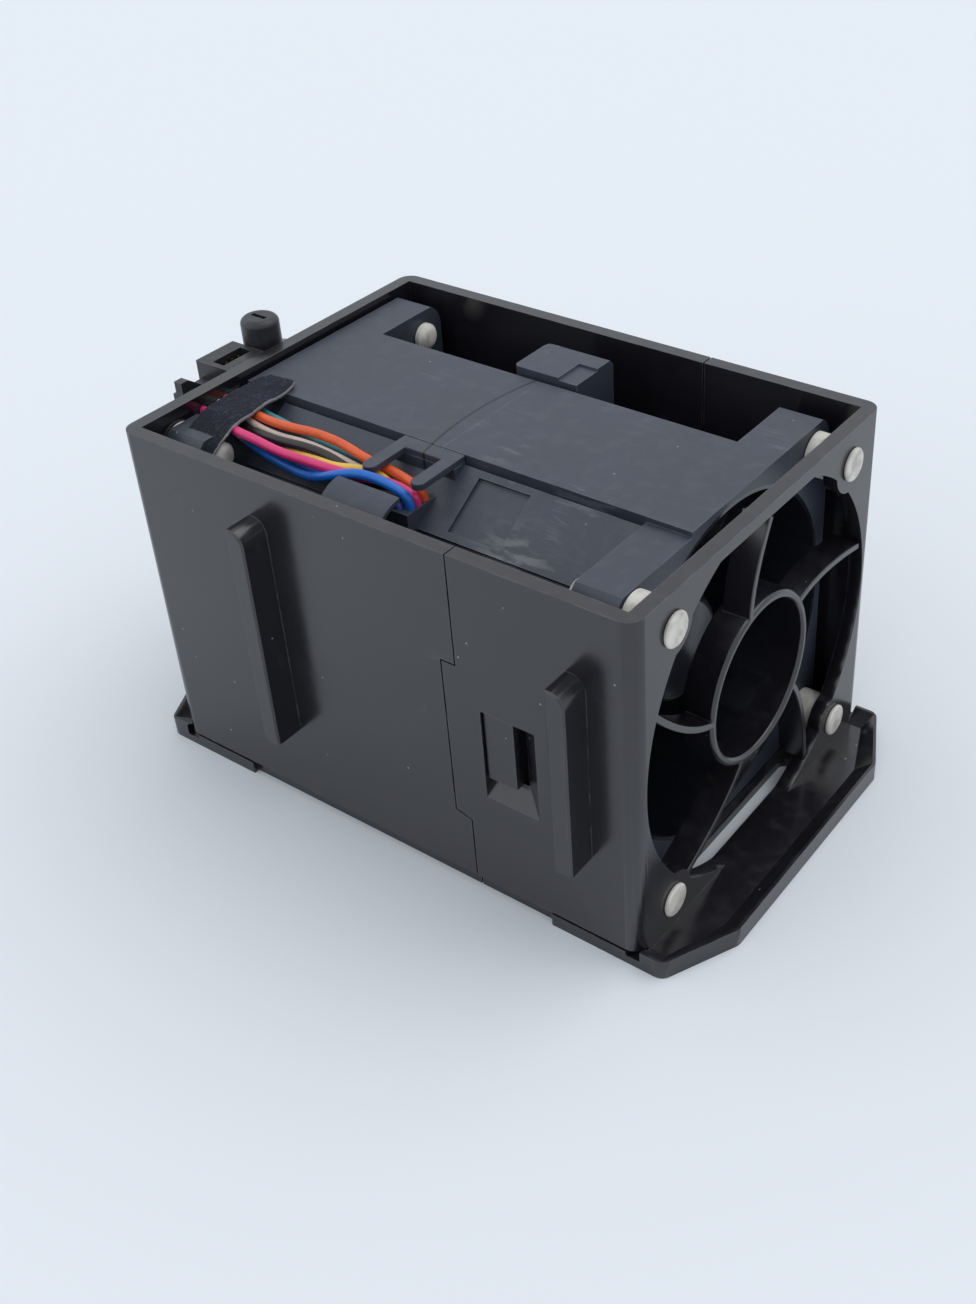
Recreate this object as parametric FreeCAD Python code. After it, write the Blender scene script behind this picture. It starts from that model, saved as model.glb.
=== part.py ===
import FreeCAD, Part
import math
import os
from FreeCAD import Vector

# Server fan module: two 60 mm fans, end to end, hang on rubber pins in a two-piece carrier.
# +X is the front, where the air goes in. -Y is the near side. +Z is up.
# The origin is under the middle of the base plate. All sizes are in millimetres.

# --- The two fans ---
fan_size = 60.0             # square end flanges of a 60 mm fan
hole_spacing = 50.0         # fixing holes of a 60 mm fan
front_fan_length = 44.4
rear_fan_length = 41.35
duct_outer_radius = 29.2
duct_inner_radius = 28.0
ear_thickness = 7.6         # end flange, along the air flow
ear_corner_radius = 4.5
plate_drop = 0.5            # top plates lie this far below the flange's full height
plate_near_reach = 10.0     # from the fan's centre line to the plate's near edge
plate_far_reach = 14.8
near_corner_drop = 1.4      # the near top corner of each flange is lower
near_corner_radius = 7.0    # and rounder

# --- Rubber isolator pins ---
pin_head_radius = 3.5
pin_neck_radius = 1.9
pin_tip_radius = 3.2
pin_head_rise = 1.5
pin_tip_length = 1.8
pin_hole_clearance = 0.15
front_collar = 4.15         # thickness of the rubber between the front wall and the fan
rear_collar = 0.75
collar_clearance = 0.05

# --- Carrier ---
wall = 2.4
floor_thickness = 1.5
fan_floor_gap = 0.2
fan_side_gap = 1.9
rim_above_fan = 0.9
corner_radius = 2.5
side_foot = 2.8             # the side walls' outer faces end this far above the table
side_foot_depth = 1.0
seam_gap = 0.25
seam_top_from_front = 30.8
seam_middle_from_front = 33.4
seam_low_from_front = 30.4
seam_step_high = 43.9
seam_step_low = 15.1
seam_step_fall = 0.9
flange_reach = 9.8
flange_side_length = 3.9
flange_tip_half_width = 22.2
flange_corner_radius = 2.0
lip_height = 3.4
lip_slope_width = 3.2
lip_edge = 0.5
foot_strip_height = 2.3
foot_strip_length = 16.0
slot_width = 2.6            # slot in the floor, close behind the front wall
slot_length = 34.0

# --- Guide ribs ---
rib_height = 5.0
rib_width = 3.2
rib_round = 2.4
rear_rib_from_rear = 29.9
rear_rib_bottom = 16.2
rear_rib_top = 56.1
front_rib_from_front = 7.9
front_rib_bottom = 18.5
front_rib_top = 51.1

# --- Latches between the carrier's halves ---
window_from_front = 17.1
window_length = 9.7
window_bottom = 20.8
window_top = 37.2
window_ramp_length = 3.4
window_ramp_height = 3.4
latch_clearance = 0.2
latch_thickness = 1.2
latch_root_length = 6.0
hook_length = 5.3
hook_recess = 0.5

# --- Air openings and their guards ---
opening_radius = 31.8
front_opening_top = 28.9    # flat top of the opening, above the fan's centre
rear_opening_top = 23.5
pin_boss_radius = 4.7
guard_ring_outer = 14.2
guard_ring_inner = 11.9
spoke_depth = 4.6
front_ring_depth = 5.4
guard_inset = 0.3
guard_fan_gap = 0.2
spoke_width = 1.7
spoke_count = 5
spoke_ring_angle = 34.0     # of the first spoke, where it leaves the ring
spoke_rim_angle = 11.5      # of the same spoke, where it meets the wall

# --- Rotors ---
tip_clearance = 0.6
hub_radius = 13.0
hub_wall = 1.05
hub_start = 6.6             # distances along a fan are measured from the seam between fans
hub_nose_start = 30.5
front_hub_end = 37.6
rear_hub_end = 35.2
front_blade_count = 7
rear_blade_count = 5
blade_root_chord = 25.0
blade_tip_chord = 27.0
blade_root_angle = 28.0
blade_tip_angle = 52.0
blade_camber = 2.6
blade_thickness = 1.5
blade_middle = 20.0
blade_sink = 0.5
shaft_radius = 1.5
shaft_start = 1.5
shaft_end = 32.0
shaft_clearance = 0.04
press_clearance = 0.02
yoke_thickness = 0.9
yoke_gap = 0.04
magnet_thickness = 1.7
magnet_start = 7.4
magnet_end = 19.4
yoke_end = 27.0
hub_boss_radius = 3.4
hub_boss_start = 23.0
clip_radius = 2.7
clip_thickness = 0.6
clip_groove = 0.25
spring_thickness = 0.7

# --- Motor, fixed in each fan frame ---
motor_base_radius = 13.0
motor_base_start = 0.3
motor_base_end = 3.0
strut_thickness = 1.3
strut_end = 6.0
front_strut_count = 5
rear_strut_count = 6
tube_outer_radius = 5.0
tube_inner_radius = 4.0
tube_start = 1.0
tube_end = 22.3
bearing_length = 3.0
first_bearing_start = 2.4
last_bearing_end = 21.9
stator_radius = 8.7
stator_start = 9.0
stator_end = 18.0
stator_teeth = 6
tooth_width = 1.8
tooth_tip_thickness = 0.7
stator_hub_thickness = 1.0
winding_build = 0.75
winding_gap = 0.05
board_radius = 11.3
board_thickness = 1.0
chip_height = 0.8

# --- Seam block, wire guides and tape ---
block_length = 12.4
block_ahead_of_seam = 5.4
block_near = 12.8
block_far = 26.2
block_rise = 1.0
block_bevel = 2.2
block_foot = 48.0
guide_length = 12.0
guide_ahead_of_seam = 4.2
finger_reach = 19.7
finger_width = 1.9
finger_thickness = 1.2
finger_drop = 1.4           # below the carrier's rim
bar_width = 1.7
bar_foot = 4.5
saddle_radius = 6.4
saddle_thickness = 1.0
saddle_center_y = -23.2
saddle_center_z = 55.0
saddle_foot = 39.0
grommet_top = 54.6
grommet_near = -26.6
grommet_far = -18.8
grommet_ahead_of_seam = 8.6
grommet_length = 6.4
channel_near = -21.4        # near edge of the wires' channel in the rear fan's flange
patch_size = 9.6            # shallow square recess on the front fan's near shoulder
patch_depth = 0.6
patch_ahead_of_seam = 8.0
shoulder_angle = 32.0
shoulder_half_width = 6.0
shoulder_radius = 29.3
tape_thickness = 0.6
tape_width = 7.4
tape_from_rear = 3.2

# --- Connector on the rear wall ---
connector_depth = 8.4
connector_foot = 51.0
connector_near = -17.4
connector_far = 11.6
connector_top_drop = 3.3
shell_near = -10.4
shell_far = -1.9
shell_drop = 0.6
socket_length = 6.4
socket_width = 2.6
socket_depth = 7.0
post_y = 1.7
post_radius = 3.3
post_rise = 3.4
fin_thickness = 1.6
neck_near = -21.2
neck_far = -11.2
neck_bottom = 56.4
neck_top = 60.7
neck_clearance = 0.15
contact_count = 4           # in each of two rows
contact_pitch = 1.4
contact_thickness = 0.4
contact_row_gap = 1.0
contact_depth = 1.0
screw_head_radius = 1.9
screw_head_height = 1.2
screw_radius = 1.0
screw_near = -14.2
screw_far = 8.6
screw_height = 54.0

# --- Wires: diameters, and routes from the connector to the fans ---
thick_wire = 1.5
thin_wire = 1.2
wire_diameters = {
    "orange": thick_wire, "teal": thin_wire, "white": thin_wire, "black": thick_wire,
    "violet": thin_wire, "pink": thick_wire, "yellow": thick_wire, "blue": thick_wire,
}
wire_routes = {
    "orange": [(-45.3, -14.5, 59.7), (-39.5, -14.5, 59.7), (-34.0, -16.9, 60.0),
               (-29.0, -16.6, 60.2), (-23.5, -16.0, 60.0), (-15.0, -16.6, 59.2),
               (-7.0, -17.4, 58.9), (-1.5, -18.7, 58.6), (1.6, -19.7, 57.7),
               (3.2, -20.2, 56.2), (3.2, -20.2, 54.6)],
    "teal": [(-45.3, -12.7, 59.7), (-39.5, -12.7, 59.7), (-34.0, -15.2, 59.2),
             (-29.0, -14.9, 58.6), (-23.5, -15.6, 57.8), (-15.0, -16.3, 57.3),
             (-7.0, -17.1, 57.1), (-3.0, -18.4, 57.0), (-0.9, -19.3, 56.6),
             (0.6, -19.7, 55.6), (0.6, -19.7, 54.6)],
    "white": [(-45.3, -16.1, 59.7), (-39.5, -16.1, 59.7), (-34.0, -18.5, 59.3),
              (-29.0, -18.3, 59.5), (-23.5, -17.9, 59.6), (-15.0, -18.2, 59.0),
              (-7.0, -19.0, 58.3), (-3.0, -20.2, 57.4), (-0.9, -20.9, 56.7),
              (0.6, -21.2, 55.6), (0.6, -21.2, 54.6)],
    "black": [(-45.3, -17.8, 59.7), (-39.5, -17.8, 59.7), (-34.0, -20.0, 59.6),
              (-29.0, -19.9, 59.8), (-23.5, -19.6, 59.4), (-15.0, -19.4, 57.3),
              (-7.0, -20.2, 56.6), (-3.0, -21.7, 56.6), (-0.9, -22.5, 56.3),
              (0.6, -22.8, 55.5), (0.6, -22.8, 54.6)],
    "violet": [(-45.3, -20.2, 58.0), (-38.5, -20.2, 58.0), (-33.5, -21.4, 58.9),
               (-29.0, -22.2, 58.4), (-23.5, -22.6, 58.0), (-15.0, -22.9, 57.6),
               (-7.0, -22.4, 57.2), (-3.0, -23.4, 56.9), (-0.9, -24.1, 56.5),
               (0.6, -24.4, 55.5), (0.6, -24.4, 54.6)],
    "pink": [(-45.3, -19.5, 59.8), (-38.0, -19.5, 59.8), (-33.5, -22.7, 60.3),
             (-29.0, -22.8, 60.4), (-23.5, -22.4, 60.1), (-15.0, -23.0, 60.0),
             (-7.0, -22.4, 59.4), (-1.5, -22.3, 58.8), (1.6, -23.1, 57.8),
             (3.2, -23.6, 56.2), (3.2, -23.6, 54.6)],
    "yellow": [(-45.3, -16.1, 57.8), (-39.5, -16.1, 57.8), (-34.0, -18.5, 57.4),
               (-29.0, -20.1, 56.7), (-23.5, -21.1, 57.2), (-15.0, -21.2, 59.0),
               (-7.0, -20.5, 59.0), (-1.5, -20.5, 58.7), (1.6, -21.4, 57.8),
               (3.2, -21.9, 56.2), (3.2, -21.9, 54.6)],
    "blue": [(-45.3, -18.2, 57.6), (-39.5, -18.2, 57.6), (-34.0, -20.3, 57.0),
             (-29.0, -22.3, 56.4), (-23.5, -24.4, 57.6), (-15.0, -25.1, 58.9),
             (-7.0, -24.1, 58.4), (-1.5, -24.0, 58.1), (1.6, -24.8, 57.4),
             (3.2, -25.3, 56.1), (3.2, -25.3, 54.6)],
}

# --- Places worked out from the sizes above ---
fan_z = floor_thickness + fan_floor_gap + fan_size / 2
half_fan = fan_size / 2
pin_offset = hole_spacing / 2
box_length = 2 * wall + rear_collar + rear_fan_length + front_fan_length + front_collar
box_width = fan_size + 2 * (fan_side_gap + wall)
rim_height = fan_z + half_fan + rim_above_fan
front_face = box_length / 2
rear_face = -front_face
front_inner = front_face - wall
rear_inner = rear_face + wall
side_face = box_width / 2
side_inner = side_face - wall
rear_fan_end = rear_inner + rear_collar
fan_seam = rear_fan_end + rear_fan_length
front_fan_end = fan_seam + front_fan_length
plate_top = fan_z + half_fan - plate_drop
pin_hole_radius = pin_neck_radius + pin_hole_clearance
rear_ring_depth = wall + rear_collar - guard_inset - guard_fan_gap
blade_tip_radius = duct_inner_radius - tip_clearance
yoke_radius = hub_radius - hub_wall - yoke_gap
magnet_radius = yoke_radius - yoke_thickness - yoke_gap
far_away = 200.0


def box(x0, x1, y0, y1, z0, z1):
    return Part.makeBox(x1 - x0, y1 - y0, z1 - z0, Vector(x0, y0, z0))


def rod(radius, x0, x1, y=0.0, z=None):
    """A cylinder along X. It is on the fans' axis unless y and z say otherwise."""
    height = fan_z if z is None else z
    start, end = sorted((x0, x1))
    return Part.makeCylinder(radius, end - start, Vector(start, y, height), Vector(1, 0, 0))


def ring(outer, inner, x0, x1):
    return rod(outer, x0, x1).cut(rod(inner, min(x0, x1) - 1, max(x0, x1) + 1))


def prism(points, travel):
    """A closed outline of 3-D points, pushed along a vector."""
    wire = Part.makePolygon([Vector(*p) for p in points + points[:1]])
    return Part.Face(wire).extrude(Vector(*travel))


def across(profile, y0, y1):
    """An outline of (x, z) points, pushed from y0 to y1."""
    return prism([(x, y0, z) for x, z in profile], (0, y1 - y0, 0))


def along(profile, x0, x1):
    """An outline of (y, z) points, pushed from x0 to x1."""
    return prism([(x0, y, z) for y, z in profile], (x1 - x0, 0, 0))


def upward(profile, z0, z1):
    """An outline of (x, y) points, pushed from z0 to z1."""
    return prism([(x, y, z0) for x, y in profile], (0, 0, z1 - z0))


def turned(profile):
    """An outline of (x, radius) points, turned about the fans' axis."""
    wire = Part.makePolygon([Vector(x, 0, fan_z + r) for x, r in profile + profile[:1]])
    return Part.Face(wire).revolve(Vector(0, 0, fan_z), Vector(1, 0, 0), 360)


def mirror_x(shape):
    return shape.mirror(Vector(0, 0, 0), Vector(1, 0, 0))


def mirror_y(shape):
    return shape.mirror(Vector(0, 0, 0), Vector(0, 1, 0))


def spin(shape, degrees):
    copy = shape.copy()
    copy.rotate(Vector(0, 0, fan_z), Vector(1, 0, 0), degrees)
    return copy


def joined(first, *others):
    return first.fuse(list(others)).removeSplitter()


def edges_along(shape, direction, keep):
    """Straight edges parallel to a direction whose middle passes the test."""
    chosen = []
    for edge in shape.Edges:
        if not isinstance(edge.Curve, Part.Line):
            continue
        if abs(abs(edge.Curve.Direction.dot(direction)) - 1) < 1e-6 and keep(edge.CenterOfMass):
            chosen.append(edge)
    return chosen


def pin_places():
    """The four fixing holes, as (y, z)."""
    return [(y, fan_z + z) for y in (-pin_offset, pin_offset) for z in (-pin_offset, pin_offset)]


# --- Carrier ---

def rounded_block(half_x, half_y, radius, z0, z1):
    block = box(-half_x, half_x, -half_y, half_y, z0, z1)
    corners = edges_along(block, Vector(0, 0, 1), lambda c: True)
    return block.makeFillet(radius, corners)


def flange_outline():
    """Plan of the front flange: straight sides, then chamfers to a narrower tip."""
    return [(front_face - corner_radius, -side_face), (front_face + flange_side_length, -side_face),
            (front_face + flange_reach, -flange_tip_half_width),
            (front_face + flange_reach, flange_tip_half_width),
            (front_face + flange_side_length, side_face), (front_face - corner_radius, side_face)]


def flange():
    """A plate with a lip that slopes up to its free edges."""
    plate = upward(flange_outline(), 0, lip_height)
    free = edges_along(plate, Vector(0, 0, 1), lambda c: c.x > front_face)
    plate = plate.makeFillet(flange_corner_radius, free)
    hollow = []
    for inset, z in ((lip_slope_width, floor_thickness), (lip_edge, lip_height + 0.01)):
        side = side_face - inset
        tip = flange_tip_half_width - 0.4 * inset
        shoulder = front_face + flange_side_length - 0.4 * inset
        outline = [(front_face, -side), (shoulder, -side), (front_face + flange_reach - inset, -tip),
                   (front_face + flange_reach - inset, tip), (shoulder, side), (front_face, side)]
        points = [Vector(x, y, z) for x, y in outline + outline[:1]]
        hollow.append(Part.makePolygon(points))
    hollow = Part.makeLoft(hollow, True, True)
    above = box(front_face - corner_radius, front_face, -far_away, far_away, floor_thickness, far_away)
    return plate.cut(hollow).cut(above)


def foot_strips():
    """Low strips under the ends of the side walls, a thin gap below them."""
    strip = box(front_face - foot_strip_length, front_face - corner_radius,
                side_face - side_foot_depth - wall, side_face, 0, foot_strip_height)
    strips = [strip, mirror_y(strip)]
    return strips + [mirror_x(s) for s in strips]


def opening(flat_top):
    """The air opening through an end wall: a circle with a flat top, and a boss at each pin."""
    hole = rod(opening_radius, front_inner - 1, front_face + 1)
    top = fan_z + flat_top
    hole = hole.cut(box(front_inner - 2, front_face + 2, -far_away, far_away, top, far_away))
    hole = hole.cut(box(front_inner - 2, front_face + 2, -far_away, far_away, -1, floor_thickness))
    for y, z in pin_places():
        hole = hole.cut(rod(pin_boss_radius, front_inner - 2, front_face + 2, y, z))
    return hole


def end_wall_holes(flat_top):
    holes = opening(flat_top)
    for y, z in pin_places():
        holes = holes.fuse(rod(pin_hole_radius, front_inner - 1, front_face + 1, y, z))
    return holes


def whole_carrier():
    """Walls, floor and both flanges, before the seam parts them."""
    walls = rounded_block(front_face, side_face, corner_radius, side_foot, rim_height)
    stem_x = front_face - corner_radius - 0.1
    stem = box(-stem_x, stem_x, side_foot_depth - side_face, side_face - side_foot_depth,
               0, side_foot)
    ends = box(rear_face, front_face, corner_radius - side_face, side_face - corner_radius,
               0, side_foot)
    cavity = box(rear_inner, front_inner, -side_inner, side_inner, floor_thickness, far_away)
    front_flange = flange()
    shell = joined(walls, stem, ends, front_flange, mirror_x(front_flange), *foot_strips())
    shell = shell.cut(cavity)
    shell = shell.cut(end_wall_holes(front_opening_top))
    shell = shell.cut(mirror_x(end_wall_holes(rear_opening_top)))
    half_slot = slot_length / 2 - slot_width / 2
    slot_x = front_inner - slot_width / 2
    slot = box(slot_x - slot_width / 2, slot_x + slot_width / 2, -half_slot, half_slot, -1, 3)
    for y in (-half_slot, half_slot):
        end = Part.makeCylinder(slot_width / 2, 4, Vector(slot_x, y, -1))
        slot = slot.fuse(end)
    return shell.cut(slot)


def behind_seam(gap):
    """Everything behind the stepped seam, grown by a gap."""
    top = front_face - seam_top_from_front + gap
    middle = front_face - seam_middle_from_front + gap
    low = front_face - seam_low_from_front + gap
    profile = [(-far_away, -1), (low, -1), (low, seam_step_low - seam_step_fall + gap),
               (middle, seam_step_low + gap), (middle, seam_step_high - gap),
               (top, seam_step_high - gap), (top, far_away), (-far_away, far_away)]
    return across(profile, -far_away, far_away)


def rib(x_front, bottom, top):
    """A guide rib on the near wall, with a rounded lead-in at the top of its front edge."""
    bar = box(x_front - rib_width, x_front, -side_face - rib_height, -side_face, bottom, top)
    edge = edges_along(bar, Vector(0, 1, 0), lambda c: c.z > top - 0.1 and c.x > x_front - 0.1)
    bar = bar.makeFillet(rib_round, edge)
    outer = edges_along(bar, Vector(0, 0, 1), lambda c: c.y < -side_face - rib_height + 0.1)
    return bar.makeChamfer(0.3, outer)


def both_sides(shape):
    return [shape, mirror_y(shape)]


def latch_window():
    """A hole for the latch hook, with ramps in front of it and below it."""
    front = front_face - window_from_front
    rear = front - window_length
    loops = []
    for y, ramp_x, ramp_z in ((-side_face - 0.01, 0, 0),
                              (-side_inner + 0.01, window_ramp_length, window_ramp_height)):
        corners = [(rear, window_bottom + ramp_z), (front - ramp_x, window_bottom + ramp_z),
                   (front - ramp_x, window_top), (rear, window_top)]
        loops.append(Part.makePolygon([Vector(x, y, z) for x, z in corners + corners[:1]]))
    return Part.makeLoft(loops, True, True)


def latch_arm():
    """A springy arm of the rear half that runs inside the front half and hooks its window."""
    window_rear = front_face - window_from_front - window_length
    root_end = front_face - seam_middle_from_front - seam_gap
    hook_front = window_rear + latch_clearance + hook_length
    outer = -side_inner + latch_clearance
    low = window_bottom + window_ramp_height + latch_clearance
    high = window_top - latch_clearance
    arm = box(root_end - latch_root_length, hook_front, outer, outer + latch_thickness, low, high)
    root = box(root_end - latch_root_length, root_end, -side_inner, outer, low, high)
    hook = box(window_rear + latch_clearance, hook_front, -side_face + hook_recess, outer, low, high)
    return joined(arm, root, hook)


def wire_neck_hole(clearance):
    return box(rear_face - 1, rear_inner + 1, neck_near - clearance, neck_far + clearance,
               neck_bottom - clearance, neck_top + clearance)


def screw_holes():
    return [rod(screw_radius + pin_hole_clearance, rear_face - 1, rear_inner + 1, y, screw_height)
            for y in (screw_near, screw_far)]


def rear_carrier():
    shell = whole_carrier().common(behind_seam(0))
    shell = shell.cut(wire_neck_hole(neck_clearance))
    for hole in screw_holes():
        shell = shell.cut(hole)
    ribs = both_sides(rib(rear_face + rear_rib_from_rear, rear_rib_bottom, rear_rib_top))
    return joined(shell, *ribs, *both_sides(latch_arm()))


def front_carrier():
    shell = whole_carrier().cut(behind_seam(seam_gap))
    ribs = both_sides(rib(front_face - front_rib_from_front, front_rib_bottom, front_rib_top))
    shell = joined(shell, *ribs)
    for window in both_sides(latch_window()):
        shell = shell.cut(window)
    return shell


def polar(radius, degrees, x=0.0):
    angle = math.radians(degrees)
    return Vector(x, radius * math.cos(angle), fan_z + radius * math.sin(angle))


def guard_spoke(ring_angle, rim_angle, depth):
    """A curved fin from the guard's ring to past the opening's edge."""
    ring_middle = (guard_ring_outer + guard_ring_inner) / 2
    x = front_face - guard_inset
    line = [polar(ring_middle, ring_angle, x),
            polar((ring_middle + opening_radius) / 2, 0.42 * ring_angle + 0.58 * rim_angle, x),
            polar(opening_radius + 3, rim_angle - 1.5, x)]
    chord = line[2] - line[0]
    side = Vector(0, -chord.z, chord.y).normalize() * (spoke_width / 2)
    left = [p + side for p in line]
    right = [p - side for p in line]
    edges = [Part.Arc(*left).toShape(), Part.LineSegment(left[2], right[2]).toShape(),
             Part.Arc(*reversed(right)).toShape(), Part.LineSegment(right[0], left[0]).toShape()]
    return Part.Face(Part.Wire(edges)).extrude(Vector(-depth, 0, 0))


def guard(carrier, flat_top, ring_depth):
    """A ring on curved spokes. The spokes end on the edge of the end wall's opening."""
    face = front_face - guard_inset
    hoop = ring(guard_ring_outer, guard_ring_inner, face - ring_depth, face)
    rims = [e for e in hoop.Edges if abs(e.CenterOfMass.x - face) < 1e-6]
    hoop = hoop.makeFillet(0.5, rims)
    pitch = 360.0 / spoke_count
    depth = min(spoke_depth, ring_depth)
    spokes = [guard_spoke(spoke_ring_angle + i * pitch, spoke_rim_angle + i * pitch, depth)
              for i in range(spoke_count)]
    whole = joined(hoop, *spokes).cut(rod(guard_ring_inner, front_inner - 9, front_face + 1))
    reach = rod(opening_radius, front_inner - 9, front_face + 1)
    below = box(0, far_away, -far_away, far_away, 0, fan_z + flat_top)
    return whole.common(reach).common(below).cut(carrier)


# --- Rubber pins ---

def isolator(y, z, face, inner, collar, ear):
    """One pin on the front side: a domed head, a collar, and a tip behind the fan's flange."""
    head_start = face + collar_clearance
    head = rod(pin_head_radius, head_start, head_start + pin_head_rise, y, z)
    rim = [e for e in head.Edges if e.CenterOfMass.x > head_start + pin_head_rise - 0.01
           and not isinstance(e.Curve, Part.Line)]
    head = head.makeFillet(pin_head_rise * 0.8, rim[:1])
    collar_end = inner - collar_clearance
    disc = rod(pin_head_radius, collar_end - collar + 2 * collar_clearance, collar_end, y, z)
    ear_back = inner - collar - ear - collar_clearance
    neck = rod(pin_neck_radius, ear_back, head_start, y, z)
    tip = rod(pin_tip_radius, ear_back - pin_tip_length, ear_back, y, z)
    back = [e for e in tip.Edges if e.CenterOfMass.x < ear_back - pin_tip_length + 0.01
            and not isinstance(e.Curve, Part.Line)]
    tip = tip.makeChamfer(1.0, back[:1])
    return joined(neck, head, disc, tip)


def isolators(collar):
    pins = [isolator(y, z, front_face, front_inner, collar, ear_thickness) for y, z in pin_places()]
    return Part.makeCompound(pins)


# --- Fan frames ---
# A fan is made as the front one, from the seam towards +X. The rear fan is its mirror image.

def frame_ear(seam, end):
    ear = box(end - ear_thickness, end, -half_fan, half_fan, fan_z - half_fan, fan_z + half_fan)
    near_top = edges_along(ear, Vector(1, 0, 0), lambda c: c.y < 0 and c.z > fan_z)
    ear = ear.makeFillet(near_corner_radius, near_top)
    corners = edges_along(ear, Vector(1, 0, 0), lambda c: abs(c.y) > half_fan - 0.01
                          and abs(c.z - fan_z) > half_fan - 0.01)
    ear = ear.makeFillet(ear_corner_radius, corners)
    top = fan_z + half_fan
    low = box(end - ear_thickness - 1, end + 1, -half_fan - 1, -plate_near_reach,
              top - near_corner_drop, top + 1)
    flat = box(end - ear_thickness - 1, end + 1, -half_fan - 1, half_fan + 1,
               top - plate_drop, top + 1)
    return ear.cut(low).cut(flat)


def frame_plates(seam, end):
    """Flat plates along the top and bottom of the duct."""
    top = box(seam, end, -plate_near_reach, plate_far_reach, fan_z + 20, plate_top)
    bottom = box(seam, end, -plate_near_reach, plate_far_reach, fan_z - half_fan, fan_z - 20)
    return [top, bottom]


def shoulder(seam, end):
    """A flat facet along the near top of the duct."""
    pad = box(seam, end, -shoulder_half_width, shoulder_half_width, fan_z + 26,
              fan_z + shoulder_radius)
    return spin(pad, shoulder_angle)


def clear_of_ducts(shape):
    """The shape without what would be inside the ducts."""
    return shape.cut(rod(duct_outer_radius, rear_fan_end, front_fan_end)).cut(
        shoulder(rear_fan_end, front_fan_end))


def motor_mount(seam, count):
    """The motor base and the struts that carry it."""
    base = rod(motor_base_radius, seam + motor_base_start, seam + motor_base_end)
    vane = box(seam + motor_base_start, seam + strut_end, -strut_thickness / 2,
               strut_thickness / 2, fan_z + motor_base_radius - 1, fan_z + duct_inner_radius + 0.5)
    lean = vane.copy()
    lean.rotate(Vector(seam, 0, fan_z), Vector(0, 0, 1), 14)
    trim = ring(duct_inner_radius + 0.6, motor_base_radius - 0.8, seam + motor_base_start,
                seam + strut_end)
    vanes = [spin(lean, 18 + i * 360.0 / count).common(trim) for i in range(count)]
    pocket = rod(tube_outer_radius + press_clearance, seam + tube_start, seam + 50)
    return joined(base, *vanes).cut(pocket)


def fan_frame(seam, end, struts):
    duct = rod(duct_outer_radius, seam, end)
    body = joined(duct, frame_ear(seam, end), *frame_plates(seam, end), shoulder(seam, end))
    body = body.cut(rod(duct_inner_radius, seam - 1, end + 1))
    for y, z in pin_places():
        body = body.cut(rod(pin_hole_radius, end - ear_thickness - 1, end + 1, y, z))
    return joined(body, motor_mount(seam, struts))


def front_fan_frame():
    body = fan_frame(fan_seam, front_fan_end, front_strut_count)
    start = fan_seam + patch_ahead_of_seam
    patch = box(start, start + patch_size, -patch_size / 2, patch_size / 2,
                fan_z + shoulder_radius - patch_depth, fan_z + shoulder_radius + 2)
    return body.cut(spin(patch, shoulder_angle))


def rear_fan_frame():
    """The mirrored frame, with a channel for the wires over its near top corner."""
    body = mirror_x(fan_frame(-fan_seam, -rear_fan_end, rear_strut_count))
    channel = box(rear_fan_end - 1, rear_fan_end + ear_thickness + 1, channel_near,
                  -plate_near_reach, fan_z + 15, far_away)
    channel = channel.cut(rod(duct_outer_radius, rear_fan_end - 2, rear_fan_end + 20))
    return body.cut(channel)


# --- Rotors ---

def blade_section(radius, chord, angle, camber, thickness, middle):
    """A thin arched blade section on the plane at one distance from the axis."""
    turn = math.radians(angle)

    def place(s, n):
        axial = middle + s * math.cos(turn) - n * math.sin(turn)
        across_way = s * math.sin(turn) + n * math.cos(turn)
        return Vector(axial, across_way, fan_z + radius)

    back = Part.Arc(place(-chord / 2, 0), place(0, camber + thickness / 2), place(chord / 2, 0))
    front = Part.Arc(place(chord / 2, 0), place(0, camber - thickness / 2), place(-chord / 2, 0))
    return Part.Wire([back.toShape(), front.toShape()])


def blade(seam, hand):
    """One twisted blade, from inside the hub's wall to the tip clearance."""
    middle = seam + blade_middle
    sections = []
    for part in (0.0, 0.5, 1.0):
        radius = 6.0 + part * (blade_tip_radius + 0.3 - 6.0)
        chord = blade_root_chord + part * (blade_tip_chord - blade_root_chord)
        angle = blade_root_angle + part * (blade_tip_angle - blade_root_angle)
        sections.append(blade_section(radius, chord, hand * angle, hand * blade_camber,
                                      blade_thickness, middle))
    solid = Part.makeLoft(sections, True, False)
    sleeve = ring(blade_tip_radius, hub_radius - blade_sink, seam, seam + 50)
    return solid.common(sleeve)


def hub(seam, end):
    """A cup over the motor, with a rounded nose and a boss for the shaft."""
    nose = seam + hub_nose_start
    outer = turned([(seam + hub_start, 0), (seam + hub_start, hub_radius), (nose, hub_radius),
                    (seam + end, hub_radius * 0.62), (seam + end, 0)])
    step = [e for e in outer.Edges if not isinstance(e.Curve, Part.Line)
            and e.BoundBox.XLength < 1e-6 and e.CenterOfMass.x > nose - 0.01]
    outer = outer.makeFillet(1.6, step)
    bore = rod(hub_radius - hub_wall, seam + hub_start - 1, seam + yoke_end + press_clearance)
    boss = rod(hub_boss_radius, seam + hub_boss_start, seam + end - 1)
    hollow = rod(hub_radius * 0.62 - 1.5, seam + yoke_end, seam + end - 1.6)
    hole = rod(shaft_radius + press_clearance, seam, seam + shaft_end + press_clearance)
    return joined(outer.cut(bore).cut(hollow), boss).cut(hole)


def impeller(seam, end, count, hand):
    blades = [spin(blade(seam, hand), i * 360.0 / count) for i in range(count)]
    return joined(hub(seam, end), *blades)


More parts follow.
